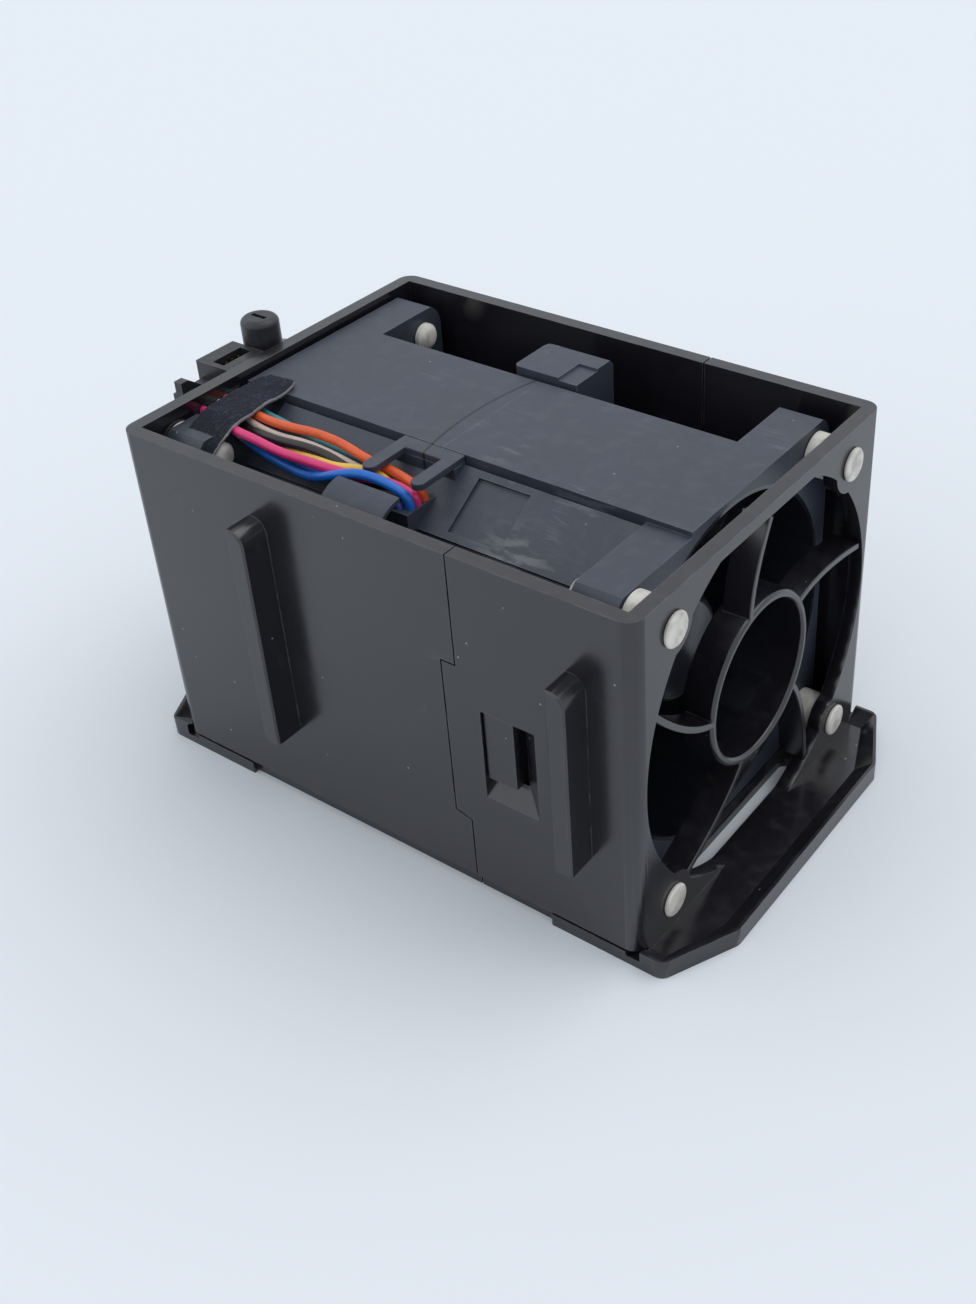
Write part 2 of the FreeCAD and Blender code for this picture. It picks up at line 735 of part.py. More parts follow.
def yoke(seam):
    """A steel cup pressed into the hub."""
    wall_ring = ring(yoke_radius, yoke_radius - yoke_thickness, seam + hub_start + 0.4,
                     seam + yoke_end)
    end = ring(yoke_radius, hub_boss_radius + press_clearance, seam + yoke_end - yoke_thickness,
               seam + yoke_end)
    return joined(wall_ring, end)


def magnet(seam):
    return ring(magnet_radius, magnet_radius - magnet_thickness, seam + magnet_start,
                seam + magnet_end)


def shaft(seam):
    body = rod(shaft_radius, seam + shaft_start, seam + shaft_end)
    groove = ring(shaft_radius + 1, shaft_radius - clip_groove, seam + shaft_start + clip_groove,
                  seam + shaft_start + clip_groove + clip_thickness)
    return body.cut(groove)


def shaft_clip(seam):
    """An open retaining ring in the shaft's groove."""
    start = seam + shaft_start + clip_groove + press_clearance
    end = start + clip_thickness - 2 * press_clearance
    body = ring(clip_radius, shaft_radius - clip_groove + press_clearance, start, end)
    gap = box(start - 1, end + 1, -0.8, 0.8, fan_z, fan_z + 5)
    return body.cut(gap)


def preload_spring(seam):
    """A thin spring washer between the outer bearing and the hub's boss."""
    start = seam + last_bearing_end + 0.15
    return ring(shaft_radius + 1.3, shaft_radius + 0.3, start, start + spring_thickness)


# --- Motors ---

def bearing_tube(seam):
    return ring(tube_outer_radius, tube_inner_radius, seam + tube_start, seam + tube_end)


def bearing(start):
    """A ball bearing, closed by its shields: two rings with a thin web between them."""
    end = start + bearing_length
    outer = tube_inner_radius - press_clearance
    inner = shaft_radius + shaft_clearance
    return turned([(start, inner), (start, inner + 0.7), (start + 0.3, inner + 0.7),
                   (start + 0.3, outer - 0.7), (start, outer - 0.7), (start, outer),
                   (end, outer), (end, outer - 0.7), (end - 0.3, outer - 0.7),
                   (end - 0.3, inner + 0.7), (end, inner + 0.7), (end, inner)])


def bearings(seam):
    first = seam + first_bearing_start
    return Part.makeCompound([bearing(first), bearing(seam + last_bearing_end - bearing_length)])


def stator_core(seam):
    """A stack of steel sheets: a sleeve, and teeth with wide tips."""
    start, end = seam + stator_start, seam + stator_end
    bore = tube_outer_radius + press_clearance
    sleeve = ring(bore + stator_hub_thickness, bore, start, end)
    tooth = box(start, end, -tooth_width / 2, tooth_width / 2, fan_z + bore + 0.5,
                fan_z + stator_radius - 0.2)
    tip_ring = ring(stator_radius, stator_radius - tooth_tip_thickness, start, end)
    tip_half = math.pi * stator_radius / stator_teeth - 0.7
    tip = tip_ring.common(box(start, end, -tip_half, tip_half, fan_z, fan_z + stator_radius))
    arms = [spin(tooth.fuse(tip), i * 360.0 / stator_teeth) for i in range(stator_teeth)]
    return joined(sleeve, *arms)


def windings(seam):
    """A coil of copper round each tooth."""
    low = fan_z + tube_outer_radius + press_clearance + stator_hub_thickness + winding_gap
    inner = tooth_width / 2 + winding_gap
    start, end = seam + stator_start - winding_gap, seam + stator_end + winding_gap
    outer_half = inner + winding_build
    tip_inside = stator_radius - tooth_tip_thickness - winding_gap
    high = fan_z + math.sqrt(tip_inside ** 2 - outer_half ** 2)
    coil = box(start - winding_build, end + winding_build, -outer_half, outer_half, low + 0.35, high)
    coil = coil.cut(box(start, end, -inner, inner, low - 1, high + 1))
    return Part.makeCompound([spin(coil, i * 360.0 / stator_teeth) for i in range(stator_teeth)])


def motor_board(seam):
    """The round driver board on the motor base, with its chips."""
    start = seam + motor_base_end
    end = start + board_thickness
    board = ring(board_radius, tube_outer_radius + 0.3, start, end)
    driver = box(end, end + chip_height, -2.2, 2.2, fan_z + 6.4, fan_z + 9.4)
    sensor = box(end, end + chip_height, -1.0, 1.0, fan_z - 10.2, fan_z - 8.6)
    capacitor = box(end, end + chip_height, 6.4, 8.2, fan_z - 1.2, fan_z + 1.2)
    return joined(board, driver, sensor, capacitor)


# --- Seam block and wire guides ---

def seam_block():
    """A bevelled catch over the fans' seam, on the far shoulder of the ducts."""
    front = fan_seam + block_ahead_of_seam
    rear = front - block_length
    top = plate_top + block_rise
    body = along([(block_near, plate_top), (block_near + block_bevel, top), (block_far - 0.8, top),
                  (block_far, top - 0.9), (block_far, block_foot), (block_near, block_foot)],
                 rear, front)
    inset = box(front - 4.6, front - 0.9, block_near + block_bevel + 0.4,
                block_near + block_bevel + 4.4, top - 0.4, top + 1)
    plate = box(rear - 1, front + 1, -plate_near_reach, plate_far_reach, fan_z, plate_top)
    return clear_of_ducts(body.cut(inset)).cut(plate)


def wire_retainer():
    """Two fingers over the wires, on a bar that stands by the top plate."""
    front = fan_seam + guide_ahead_of_seam
    rear = front - guide_length
    top = rim_height - finger_drop
    bar = box(rear, front, -plate_near_reach - bar_width, -plate_near_reach, top - bar_foot, top)
    fingers = []
    for x in (rear, front - finger_width - 1.6):
        tip_y = -finger_reach + finger_width / 2
        arm = box(x, x + finger_width, tip_y, -plate_near_reach, top - finger_thickness, top)
        tip = Part.makeCylinder(finger_width / 2, finger_thickness,
                                Vector(x + finger_width / 2, tip_y, top - finger_thickness))
        fingers += [arm, tip]
    return clear_of_ducts(joined(bar, *fingers))


def wire_saddle():
    """A curved guard that keeps the wires off the near wall."""
    front = fan_seam + guide_ahead_of_seam - 0.4
    rear = front - guide_length + 0.4
    middle = Vector(0, saddle_center_y, saddle_center_z)

    def on_arc(radius, degrees):
        angle = math.radians(degrees)
        return middle + Vector(rear, radius * math.cos(angle), radius * math.sin(angle))

    inner = saddle_radius - saddle_thickness
    foot_out = Vector(rear, saddle_center_y - saddle_radius, saddle_foot)
    foot_in = Vector(rear, saddle_center_y - inner, saddle_foot)
    edges = [Part.Arc(on_arc(saddle_radius, 88), on_arc(saddle_radius, 134),
                      on_arc(saddle_radius, 180)).toShape(),
             Part.LineSegment(on_arc(saddle_radius, 180), foot_out).toShape(),
             Part.LineSegment(foot_out, foot_in).toShape(),
             Part.LineSegment(foot_in, on_arc(inner, 180)).toShape(),
             Part.Arc(on_arc(inner, 180), on_arc(inner, 134), on_arc(inner, 88)).toShape(),
             Part.LineSegment(on_arc(inner, 88), on_arc(saddle_radius, 88)).toShape()]
    body = Part.Face(Part.Wire(edges)).extrude(Vector(front - rear, 0, 0))
    return clear_of_ducts(body)


def wire_grommet():
    """The block on the duct where the wires go into the fans."""
    front = fan_seam + grommet_ahead_of_seam
    body = box(front - grommet_length, front, grommet_near, grommet_far, fan_z + 10, grommet_top)
    return clear_of_ducts(body)


def cloth_tape():
    """A strip of cloth tape over the wires, from the top plate down beside the near wall."""
    rear = rear_face + tape_from_rear
    top = plate_top + 0.1
    wall_y = -side_inner + 0.35
    low = [(-6.4, top), (-12.0, top), (-20.5, top), (-26.2, top - 0.4), (-28.9, top - 1.8),
           (wall_y + tape_thickness, top - 5.2), (wall_y + tape_thickness, top - 11.0)]
    high = [(wall_y, top - 11.0), (wall_y, top - 4.8), (-29.4, top - 1.2),
            (-26.4, top - 0.4 + tape_thickness), (-20.5, top + tape_thickness),
            (-12.0, top + tape_thickness), (-6.4, top + tape_thickness)]
    return along(low + high, rear, rear + tape_width)


# --- Connector ---

def connector_housing():
    """The moulded plug on the rear wall: a body, an open-topped shell, a guide post and a fin."""
    outer = rear_face - connector_depth
    body_top = rim_height - connector_top_drop
    body = along([(connector_near, connector_foot), (connector_far - 3, connector_foot),
                  (connector_far, connector_foot + 3), (connector_far, body_top - 2.4),
                  (post_y + post_radius, body_top + 1.0), (connector_near + 4.6, body_top),
                  (connector_near, body_top)], outer + 1.4, rear_face)
    shell = box(outer, rear_face, shell_near, shell_far, connector_foot + 2,
                rim_height - shell_drop)
    post_x = outer + post_radius + 0.2
    post = Part.makeCylinder(post_radius, rim_height + post_rise - connector_foot - 1,
                             Vector(post_x, post_y, connector_foot + 1))
    rim = [e for e in post.Edges if e.CenterOfMass.z > rim_height + post_rise - 0.01
           and not isinstance(e.Curve, Part.Line)]
    post = post.makeFillet(1.1, rim[:1])
    fin = prism([(outer + 2.2, connector_near, body_top - 4),
                 (outer + 2.2, connector_near, rim_height - 0.9),
                 (outer + 2.2, connector_near + 1.6, rim_height - 0.9),
                 (outer + 2.2, connector_near + 4.8, body_top),
                 (outer + 2.2, connector_near + 4.8, body_top - 4)], (fin_thickness, 0, 0))
    neck = box(rear_face, rear_inner, neck_near, neck_far, neck_bottom, neck_top)
    whole = joined(body, shell, post, fin)
    whole = whole.cut(box(rear_face, far_away, -far_away, far_away, 0, far_away))
    step = box(rear_face - 2, rear_face, neck_near, connector_near + 1, neck_bottom, body_top)
    whole = joined(whole, neck, step)
    middle = (shell_near + shell_far) / 2
    socket_x = (outer + rear_face) / 2
    socket = box(socket_x - socket_width / 2, socket_x + socket_width / 2,
                 middle - socket_length / 2, middle + socket_length / 2,
                 rim_height - shell_drop - socket_depth, far_away)
    slot = box(post_x - 1.6, post_x + 1.6, post_y - 0.45, post_y + 0.45,
               rim_height + post_rise - 0.6, far_away)
    whole = whole.cut(socket).cut(slot)
    for y in (screw_near, screw_far):
        head_room = rod(screw_head_radius + 0.2, outer - 1, rear_face - 3, y, screw_height)
        way = rod(screw_radius + pin_hole_clearance, outer - 1, rear_face + 1, y, screw_height)
        whole = whole.cut(head_room).cut(way)
    return whole


def connector_contacts():
    """Two rows of flat contacts that stand in the socket."""
    middle = (shell_near + shell_far) / 2
    socket_x = rear_face - connector_depth / 2
    floor = rim_height - shell_drop - socket_depth
    top = rim_height - shell_drop - contact_depth
    contacts = []
    for x in (socket_x - contact_row_gap, socket_x + contact_row_gap - contact_thickness / 2):
        for i in range(contact_count):
            y = middle + (i - (contact_count - 1) / 2) * contact_pitch
            contacts.append(box(x, x + contact_thickness / 2, y - contact_thickness / 2,
                                y + contact_thickness / 2, floor, top))
    return Part.makeCompound(contacts)


def connector_screws():
    screws = []
    for y in (screw_near, screw_far):
        seat = rear_face - 3
        head = rod(screw_head_radius, seat - screw_head_height, seat, y, screw_height)
        shank = rod(screw_radius, seat, rear_inner, y, screw_height)
        slot = box(seat - screw_head_height - 1, seat - screw_head_height + 0.5, y - 0.3, y + 0.3,
                   screw_height - 1.4, screw_height + 1.4)
        screws.append(joined(head, shank).cut(slot))
    return Part.makeCompound(screws)


# --- Wires ---

def wire_path(points):
    """Straight runs joined by tangent arcs, and the radius of each arc."""
    places = [Vector(*p) for p in points]
    edges, radii = [], []
    last = places[0]
    for before, corner, after in zip(places, places[1:], places[2:]):
        way_in = (corner - before).normalize()
        way_out = (after - corner).normalize()
        turn = way_in.getAngle(way_out)
        trim = 0.45 * min(before.distanceToPoint(corner), corner.distanceToPoint(after))
        radii.append(trim / math.tan(turn / 2))
        start = corner - way_in * trim
        end = corner + way_out * trim
        inward = (way_out - way_in).normalize()
        middle = corner + inward * radii[-1] * (1 / math.cos(turn / 2) - 1)
        edges.append(Part.LineSegment(last, start).toShape())
        edges.append(Part.Arc(start, middle, end).toShape())
        last = end
    edges.append(Part.LineSegment(last, places[-1]).toShape())
    return Part.Wire(edges), radii


def wire(colour):
    path, radii = wire_path(wire_routes[colour])
    points = wire_routes[colour]
    radius = wire_diameters[colour] / 2
    start = Vector(*points[0])
    section = Part.Wire(Part.Circle(start, Vector(*points[1]) - start, radius).toShape())
    tube = path.makePipeShell([section], True, False)
    share = tube.Volume / (path.Length * math.pi * radius ** 2)
    print(f"{colour} wire: {path.Length:.1f} mm, volume share {share:.4f}, radii "
          + " ".join(f"{r:.1f}" for r in radii))
    return tube


def main():
    rear = rear_carrier()
    front = front_carrier()
    front_seam, rear_seam = fan_seam, -fan_seam
    nodes = {
        "rear_carrier": rear,
        "front_carrier": front,
        "front_guard": guard(front, front_opening_top, front_ring_depth),
        "rear_guard": mirror_x(guard(mirror_x(rear), rear_opening_top, rear_ring_depth)),
        "front_isolators": isolators(front_collar),
        "rear_isolators": mirror_x(isolators(rear_collar)),
        "front_fan_frame": front_fan_frame(),
        "rear_fan_frame": rear_fan_frame(),
        "seam_block": seam_block(),
        "wire_retainer": wire_retainer(),
        "wire_saddle": wire_saddle(),
        "wire_grommet": wire_grommet(),
        "cloth_tape": cloth_tape(),
        "connector_housing": connector_housing(),
        "connector_contacts": connector_contacts(),
        "connector_screws": connector_screws(),
        "front_impeller": impeller(front_seam, front_hub_end, front_blade_count, 1),
        "rear_impeller": mirror_x(impeller(rear_seam, rear_hub_end, rear_blade_count, 1)),
    }
    makers = {"yoke": yoke, "magnet": magnet, "shaft": shaft, "shaft_clip": shaft_clip,
              "preload_spring": preload_spring, "bearing_tube": bearing_tube,
              "bearings": bearings, "stator_core": stator_core, "windings": windings,
              "motor_board": motor_board}
    for name, make in makers.items():
        nodes["front_" + name] = make(front_seam)
        nodes["rear_" + name] = mirror_x(make(rear_seam))
    for colour in wire_routes:
        nodes["wire_" + colour] = wire(colour)
    os.makedirs("parts", exist_ok=True)
    for name, shape in nodes.items():
        shape.exportStep(f"parts/{name}.step")
        box_of = shape.BoundBox
        print(f"{name}: {len(shape.Solids)} solids, valid {shape.isValid()}, "
              f"x {box_of.XMin:.1f}..{box_of.XMax:.1f}, y {box_of.YMin:.1f}..{box_of.YMax:.1f}, "
              f"z {box_of.ZMin:.1f}..{box_of.ZMax:.1f}")


main()
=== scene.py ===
# %% [markdown]
# # A server fan module
# Two 60 mm fans, one behind the other, hang on rubber pins in a black moulded carrier. A strip of
# cloth tape holds eight wires against the fans, and the wires end in a plug on the rear wall.
# The shapes come from the CAD model, which is loaded here as a fixed frame. This lesson gives them
# their finishes, and remakes the wires, the tape, the guards, the pins and the small mouldings,
# which CAD holds as plainer solids.

import math
import random

import bmesh
import bpy
from mathutils import Matrix, Vector, noise


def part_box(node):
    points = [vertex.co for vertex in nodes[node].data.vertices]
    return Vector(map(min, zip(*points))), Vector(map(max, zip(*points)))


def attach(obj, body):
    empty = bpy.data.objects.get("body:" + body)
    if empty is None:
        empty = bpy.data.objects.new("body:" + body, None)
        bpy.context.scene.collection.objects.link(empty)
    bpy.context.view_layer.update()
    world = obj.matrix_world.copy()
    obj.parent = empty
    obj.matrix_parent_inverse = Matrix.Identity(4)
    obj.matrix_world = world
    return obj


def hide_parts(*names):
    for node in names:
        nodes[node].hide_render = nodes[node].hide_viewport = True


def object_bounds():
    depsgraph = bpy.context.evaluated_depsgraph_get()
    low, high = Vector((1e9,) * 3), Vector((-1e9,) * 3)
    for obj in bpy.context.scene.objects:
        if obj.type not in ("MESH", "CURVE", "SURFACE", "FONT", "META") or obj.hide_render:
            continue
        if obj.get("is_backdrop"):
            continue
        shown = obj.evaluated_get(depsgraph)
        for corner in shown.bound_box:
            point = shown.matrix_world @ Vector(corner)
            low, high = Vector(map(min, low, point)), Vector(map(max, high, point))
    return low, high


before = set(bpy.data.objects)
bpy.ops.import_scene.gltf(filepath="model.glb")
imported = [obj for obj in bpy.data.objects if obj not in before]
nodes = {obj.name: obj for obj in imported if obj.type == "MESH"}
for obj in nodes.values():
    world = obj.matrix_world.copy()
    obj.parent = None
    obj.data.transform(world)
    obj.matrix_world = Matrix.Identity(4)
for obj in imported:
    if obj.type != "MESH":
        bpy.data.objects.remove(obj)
cad_low, cad_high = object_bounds()
cad_size = cad_high - cad_low


def show(name, data):
    """An object in the scene that shows this data."""
    shown = bpy.data.objects.new(name, data)
    bpy.context.scene.collection.objects.link(shown)
    return shown


print("CAD box in mm:", [round(side * 1000, 1) for side in cad_size])

# %% [markdown]
# ## Camera
# The camera looks down at the near wall and the front from a hand's reach away, with a slightly
# long lens, as people look at a thing they hold. An azimuth, an elevation and a distance from the
# middle of the fans are easier to read and to change than x, y and z.

# %% The camera, placed by its angles
camera_azimuth = math.radians(36.7)
camera_elevation = math.radians(35.4)
camera_roll = math.radians(-2.36)
camera_distance = 0.2596
camera_lens = 43.43
camera_shift = (-0.0706, -0.036)
look_offset = (-0.01135, 0.00372)       # sideways and up, in the camera's own plane

low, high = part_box("front_shaft")
fan_axis_z = (low.z + high.z) / 2
aim = Vector((0, 0, fan_axis_z))
back = Vector((math.sin(camera_azimuth) * math.cos(camera_elevation),
               -math.cos(camera_azimuth) * math.cos(camera_elevation),
               math.sin(camera_elevation)))
level_right = (-back).cross(Vector((0, 0, 1))).normalized()
level_up = level_right.cross(-back)
right = math.cos(camera_roll) * level_right + math.sin(camera_roll) * level_up
up = -math.sin(camera_roll) * level_right + math.cos(camera_roll) * level_up

camera_data = bpy.data.cameras.new("camera")
camera_data.lens = camera_lens
camera_data.shift_x, camera_data.shift_y = camera_shift
camera_data.clip_start = 0.01
camera = show("camera", camera_data)
turn = Matrix((right, up, back)).transposed().to_4x4()
place = aim - look_offset[0] * right - look_offset[1] * up + camera_distance * back
camera.matrix_world = Matrix.Translation(place) @ turn
bpy.context.scene.camera = camera
print("camera at", [round(value, 3) for value in place])

# %% [markdown]
# ## Wires
# Eight insulated wires leave the plug, pass under the tape and run along the fans to a grommet.
# Each is one smooth NURBS curve through a few given points, with a round bevel. A mesh
# tube would need rings of vertices for the same thing.

# %% Routes of the wires, from the plug to the grommet
thick_wire, thin_wire = 0.0015, 0.0012
route_units = 10000                     # to the metre
wire_table = {           # diameter, length, and the route in tenths of a millimetre
    "orange": (thick_wire, 0.0459, [
        (-453, -145, 597), (-408, -145, 597), (-357, -169, 604), (-296, -171, 604),
        (-237, -161, 605), (-181, -161, 602), (-129, -167, 594), (-80, -166, 589),
        (-46, -171, 587), (-24, -175, 584), (-13, -174, 576), (-13, -174, 565)]),
    "teal": (thin_wire, 0.0437, [
        (-453, -127, 597), (-412, -127, 597), (-369, -146, 596), (-318, -145, 590),
        (-260, -151, 583), (-200, -150, 579), (-143, -152, 577), (-90, -155, 576),
        (-60, -159, 574), (-42, -164, 575), (-29, -168, 573), (-28, -169, 565)]),
    "white": (thin_wire, 0.0422, [
        (-453, -161, 597), (-410, -161, 597), (-360, -180, 595), (-300, -185, 592),
        (-243, -177, 593), (-188, -176, 588), (-146, -175, 581), (-108, -171, 574),
        (-76, -170, 571), (-56, -172, 574), (-44, -177, 573), (-43, -178, 565)]),
    "black": (thick_wire, 0.0423, [
        (-453, -178, 597), (-414, -178, 597), (-370, -189, 588), (-325, -199, 595),
        (-278, -200, 596), (-232, -194, 598), (-186, -190, 594), (-145, -189, 580),
        (-105, -193, 573), (-74, -200, 570), (-56, -201, 573), (-44, -201, 572),
        (-43, -201, 565)]),
    "violet": (thin_wire, 0.0435, [
        (-453, -202, 580), (-410, -202, 582), (-369, -205, 593), (-332, -213, 592),
        (-285, -214, 586), (-227, -217, 586), (-169, -220, 581), (-115, -213, 576),
        (-72, -215, 576), (-46, -216, 577), (-29, -213, 573), (-28, -212, 565)]),
    "pink": (thick_wire, 0.0463, [
        (-453, -195, 598), (-410, -196, 601), (-364, -221, 604), (-305, -226, 604),
        (-250, -233, 603), (-204, -228, 600), (-154, -222, 597), (-112, -208, 589),
        (-77, -197, 589), (-49, -193, 587), (-26, -192, 583), (-13, -190, 575),
        (-13, -190, 565)]),
    "yellow": (thick_wire, 0.0412, [
        (-453, -161, 578), (-408, -161, 578), (-358, -179, 577), (-296, -196, 579),
        (-240, -201, 584), (-196, -205, 589), (-156, -207, 591), (-121, -196, 594),
        (-94, -182, 586), (-75, -183, 580), (-63, -185, 574), (-62, -185, 565)]),
    "blue": (thick_wire, 0.0474, [
        (-453, -182, 576), (-408, -182, 576), (-355, -196, 570), (-302, -209, 569),
        (-249, -218, 569), (-199, -227, 572), (-158, -237, 588), (-124, -232, 602),
        (-96, -223, 608), (-68, -214, 604), (-41, -209, 596), (-21, -206, 587), (-13, -205, 575),
        (-13, -205, 565)])}


def make_wire(colour, diameter, length, places):
    """One wire as a NURBS curve that starts at the plug's neck and ends on the grommet."""
    route = [tuple(value / route_units for value in place) for place in places]
    name = "insulated_wire_" + colour
    curve = bpy.data.curves.new(name, "CURVE")
    curve.dimensions = "3D"
    spline = curve.splines.new("NURBS")
    spline.points.add(len(route) - 1)
    for point, place in zip(spline.points, route):
        point.co = (*place, 1)
        point.radius = diameter / 2
    spline.order_u = 3
    spline.use_endpoint_u = True
    spline.resolution_u = 10
    curve.bevel_depth = 1.0             # times each point's radius, which is the wire's own
    curve.bevel_resolution = 5
    curve.use_fill_caps = True
    wire = show(name, curve)
    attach(wire, "carrier")
    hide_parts("wire_" + colour)
    return wire


wires = {colour: make_wire(colour, *row) for colour, row in wire_table.items()}
print("wires:", ", ".join(f"{c} {1000 * row[1]:.1f} mm" for c, row in wire_table.items()))

# %% [markdown]
# ## Small helpers for shader nodes
# Every finish below is a net of nodes, and written out in full each node takes four or five
# lines. These helpers make one node a line: `add` places a node and plugs in its inputs, `calc`,
# `times`, `plus`, `minus` and `blend` do sums, and `finish_shader` plugs the outcome into the
# shader, which stays in the material.

# %% Helpers that place nodes
def paint(red, green, blue):
    """A screen colour, 0 to 255, as the linear colour that a shader takes."""
    linear = []
    for value in (red, green, blue):
        share = value / 255
        linear.append(share / 12.92 if share <= 0.04045 else ((share + 0.055) / 1.055) ** 2.4)
    return (*linear, 1)


def fill(tree, node, inputs):
    """Sets inputs, given by name or number, to values or to other nodes' outputs."""
    for key, value in inputs.items():
        if isinstance(value, bpy.types.NodeSocket):
            tree.links.new(value, node.inputs[key])
        else:
            node.inputs[key].default_value = value


def add(tree, kind, inputs=None, **settings):
    """A new node with its settings and its inputs."""
    node = tree.nodes.new("ShaderNode" + kind)
    for name, value in settings.items():
        setattr(node, name, value)
    fill(tree, node, inputs or {})
    return node


def calc(operation, first, *others):
    """A sum over two or more values, from the left. Some operations take only one."""
    sockets = [value for value in (first, *others) if isinstance(value, bpy.types.NodeSocket)]
    tree = sockets[0].id_data           # the tree that the value comes from
    for other in others or (0.0,):
        first = add(tree, "Math", {0: first, 1: other}, operation=operation).outputs[0]
    return first


def times(*values):
    return calc("MULTIPLY", *values)


def plus(*values):
    return calc("ADD", *values)


def minus(first, second):
    return calc("SUBTRACT", first, second)


def blend(share, first, second):
    """The first colour where share is 0, the second where it is 1."""
    # A Mix node has sockets for every kind of data. These numbers are the colour ones.
    inputs = {0: share, 6: first, 7: second}
    return add(share.id_data, "Mix", inputs, data_type="RGBA").outputs[2]


def remap(value, low, high, to_low=0.0, to_high=1.0):
    """Stretches values between low and high, with soft ends."""
    inputs = {"Value": value, "From Min": low, "From Max": high, "To Min": to_low,
              "To Max": to_high}
    stretched = add(value.id_data, "MapRange", inputs, interpolation_type="SMOOTHSTEP")
    return stretched.outputs["Result"]


def object_noise(tree, scale, detail=2.0, stretch=(1, 1, 1), turned=(0, 0, 0)):
    """Noise that stays with the piece as it moves. Scale is in patches per metre."""
    place = add(tree, "TexCoord").outputs["Object"]
    if stretch != (1, 1, 1) or turned != (0, 0, 0):
        place = add(tree, "Mapping", {"Vector": place, "Rotation": turned, "Scale": stretch})
        place = place.outputs["Vector"]
    inputs = {"Vector": place, "Scale": scale, "Detail": detail}
    return add(tree, "TexNoise", inputs).outputs[0]


def patches(tree, scale, detail, low, high, to_low=0.0):
    """Noise remapped, so that it makes patches with soft rims."""
    return remap(object_noise(tree, scale, detail), low, high, to_low)


def place_parts(tree):
    """The three coordinates of the shaded place, and its distance from the fans' axis."""
    place = add(tree, "TexCoord").outputs["Object"]
    x, y, z = add(tree, "SeparateXYZ", {"Vector": place}).outputs
    height = minus(z, fan_axis_z)
    squares = plus(times(height, height), times(y, y))
    return x, y, z, calc("SQRT", squares)


def new_group(name, inputs, outputs, build):
    """A node group of plain numbers. Build takes its tree and inputs, and gives its outputs."""
    tree = bpy.data.node_groups.new(name, "ShaderNodeTree")
    number = "NodeSocketFloat"
    for label, value in inputs.items():
        socket = tree.interface.new_socket(name=label, in_out="INPUT", socket_type=number)
        socket.default_value = value
    for label in outputs:
        tree.interface.new_socket(name=label, in_out="OUTPUT", socket_type=number)
    given = tree.nodes.new("NodeGroupInput")
    put_out = tree.nodes.new("NodeGroupOutput")
    fill(tree, put_out, dict(zip(outputs, build(tree, given.outputs))))
    print("group", name, "puts out", ", ".join(outputs))
    return tree


def use_group(tree, group, **values):
    """Places a group in a material and gives its outputs. Values are its inputs by name."""
    return add(tree, "Group", values, node_tree=group).outputs


def start_material(name):
    """A material with nodes, and its tree."""
    material = bpy.data.materials.new(name)
    material.use_nodes = True
    return material, material.node_tree


def fill_shader(tree, inputs):
    fill(tree, tree.nodes["Principled BSDF"], inputs)


def finish_shader(tree, colour, roughness, height, depth, strength, constants):
    """Plugs a colour, a roughness and a bump into the shader, and sets its constants."""
    bump = add(tree, "Bump", {"Height": height, "Distance": depth, "Strength": strength})
    fill_shader(tree, {"Base Color": colour, "Roughness": roughness,
                       "Normal": bump.outputs["Normal"], **constants})


print("helpers for colours, nodes, groups and materials")

# %% [markdown]
# ## Table and light
# The module stands on a pale table that runs on past the edge of the view. One wide soft lamp
# above and to the far right, and an even pale sky, give the soft shadow of a light tent. Area
# lamps would leave the far table grey, so sun lamps with a large angle do the work: their light is
# the same everywhere. Dark glossy plastic is mostly what it reflects, so the sky that reflections
# see is as pale as the sky behind the table.

# %% The table, the sky and the lamps
table_colour = (0.80, 0.845, 0.895, 1)
table_half_size = 4.0
sky_colour = (0.93, 0.96, 1.0, 1)
sky_strength = 0.70
lamps = {                               # strength, angle in degrees, and where it shines from
    "soft_sun": (0.80, 55, (0.35, 0.45, 1.0)),
    "near_fill": (0.50, 90, (-0.5, -0.8, 0.9))}


def make_table():
    mesh = bpy.data.meshes.new("table_top")
    s = table_half_size
    mesh.from_pydata([(-s, -s, 0), (s, -s, 0), (s, s, 0), (-s, s, 0)], [], [(0, 1, 2, 3)])
    table = show("table_top", mesh)
    material, tree = start_material("table_paper")
    fill_shader(tree, {"Base Color": table_colour, "Roughness": 0.8, "Specular IOR Level": 0.1})
    mesh.materials.append(material)
    table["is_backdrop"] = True


def make_sky():
    """One sky lights the scene, and a paler one is what the camera and reflections see."""
    world = bpy.data.worlds.new("pale_room")
    bpy.context.scene.world = world
    world.use_nodes = True
    tree = world.node_tree
    light = tree.nodes["Background"]
    fill(tree, light, {"Color": sky_colour, "Strength": sky_strength})
    seen = add(tree, "Background", {"Color": table_colour, "Strength": 1.0})
    path = add(tree, "LightPath").outputs
    direct = calc("MAXIMUM", path["Is Camera Ray"], path["Is Transmission Ray"],
                  path["Is Glossy Ray"])
    mix = add(tree, "MixShader", {"Fac": direct, 1: light.outputs[0], 2: seen.outputs[0]})
    fill(tree, tree.nodes["World Output"], {"Surface": mix.outputs[0]})


def make_sun(name, strength, angle, source):
    lamp = bpy.data.lights.new(name, "SUN")
    lamp.energy = strength
    lamp.angle = math.radians(angle)
    sun = show(name, lamp)
    sun.matrix_world = Vector(source).to_track_quat("Z", "Y").to_matrix().to_4x4()


make_table()
make_sky()
for name, row in lamps.items():
    make_sun(name, *row)
bpy.context.scene.view_settings.view_transform = "Standard"
print("table, sky and lamps:", ", ".join(lamps))

# %% [markdown]
# ## Moulded grain
# Plastic copies its steel mould, and a spark-eroded mould leaves a grain of about a quarter of a
# millimetre, with slow waves over it where the melt cooled unevenly. Real displacement would need
# millions of faces, so the group gives a height for a bump, and a mottle for colour and gloss.

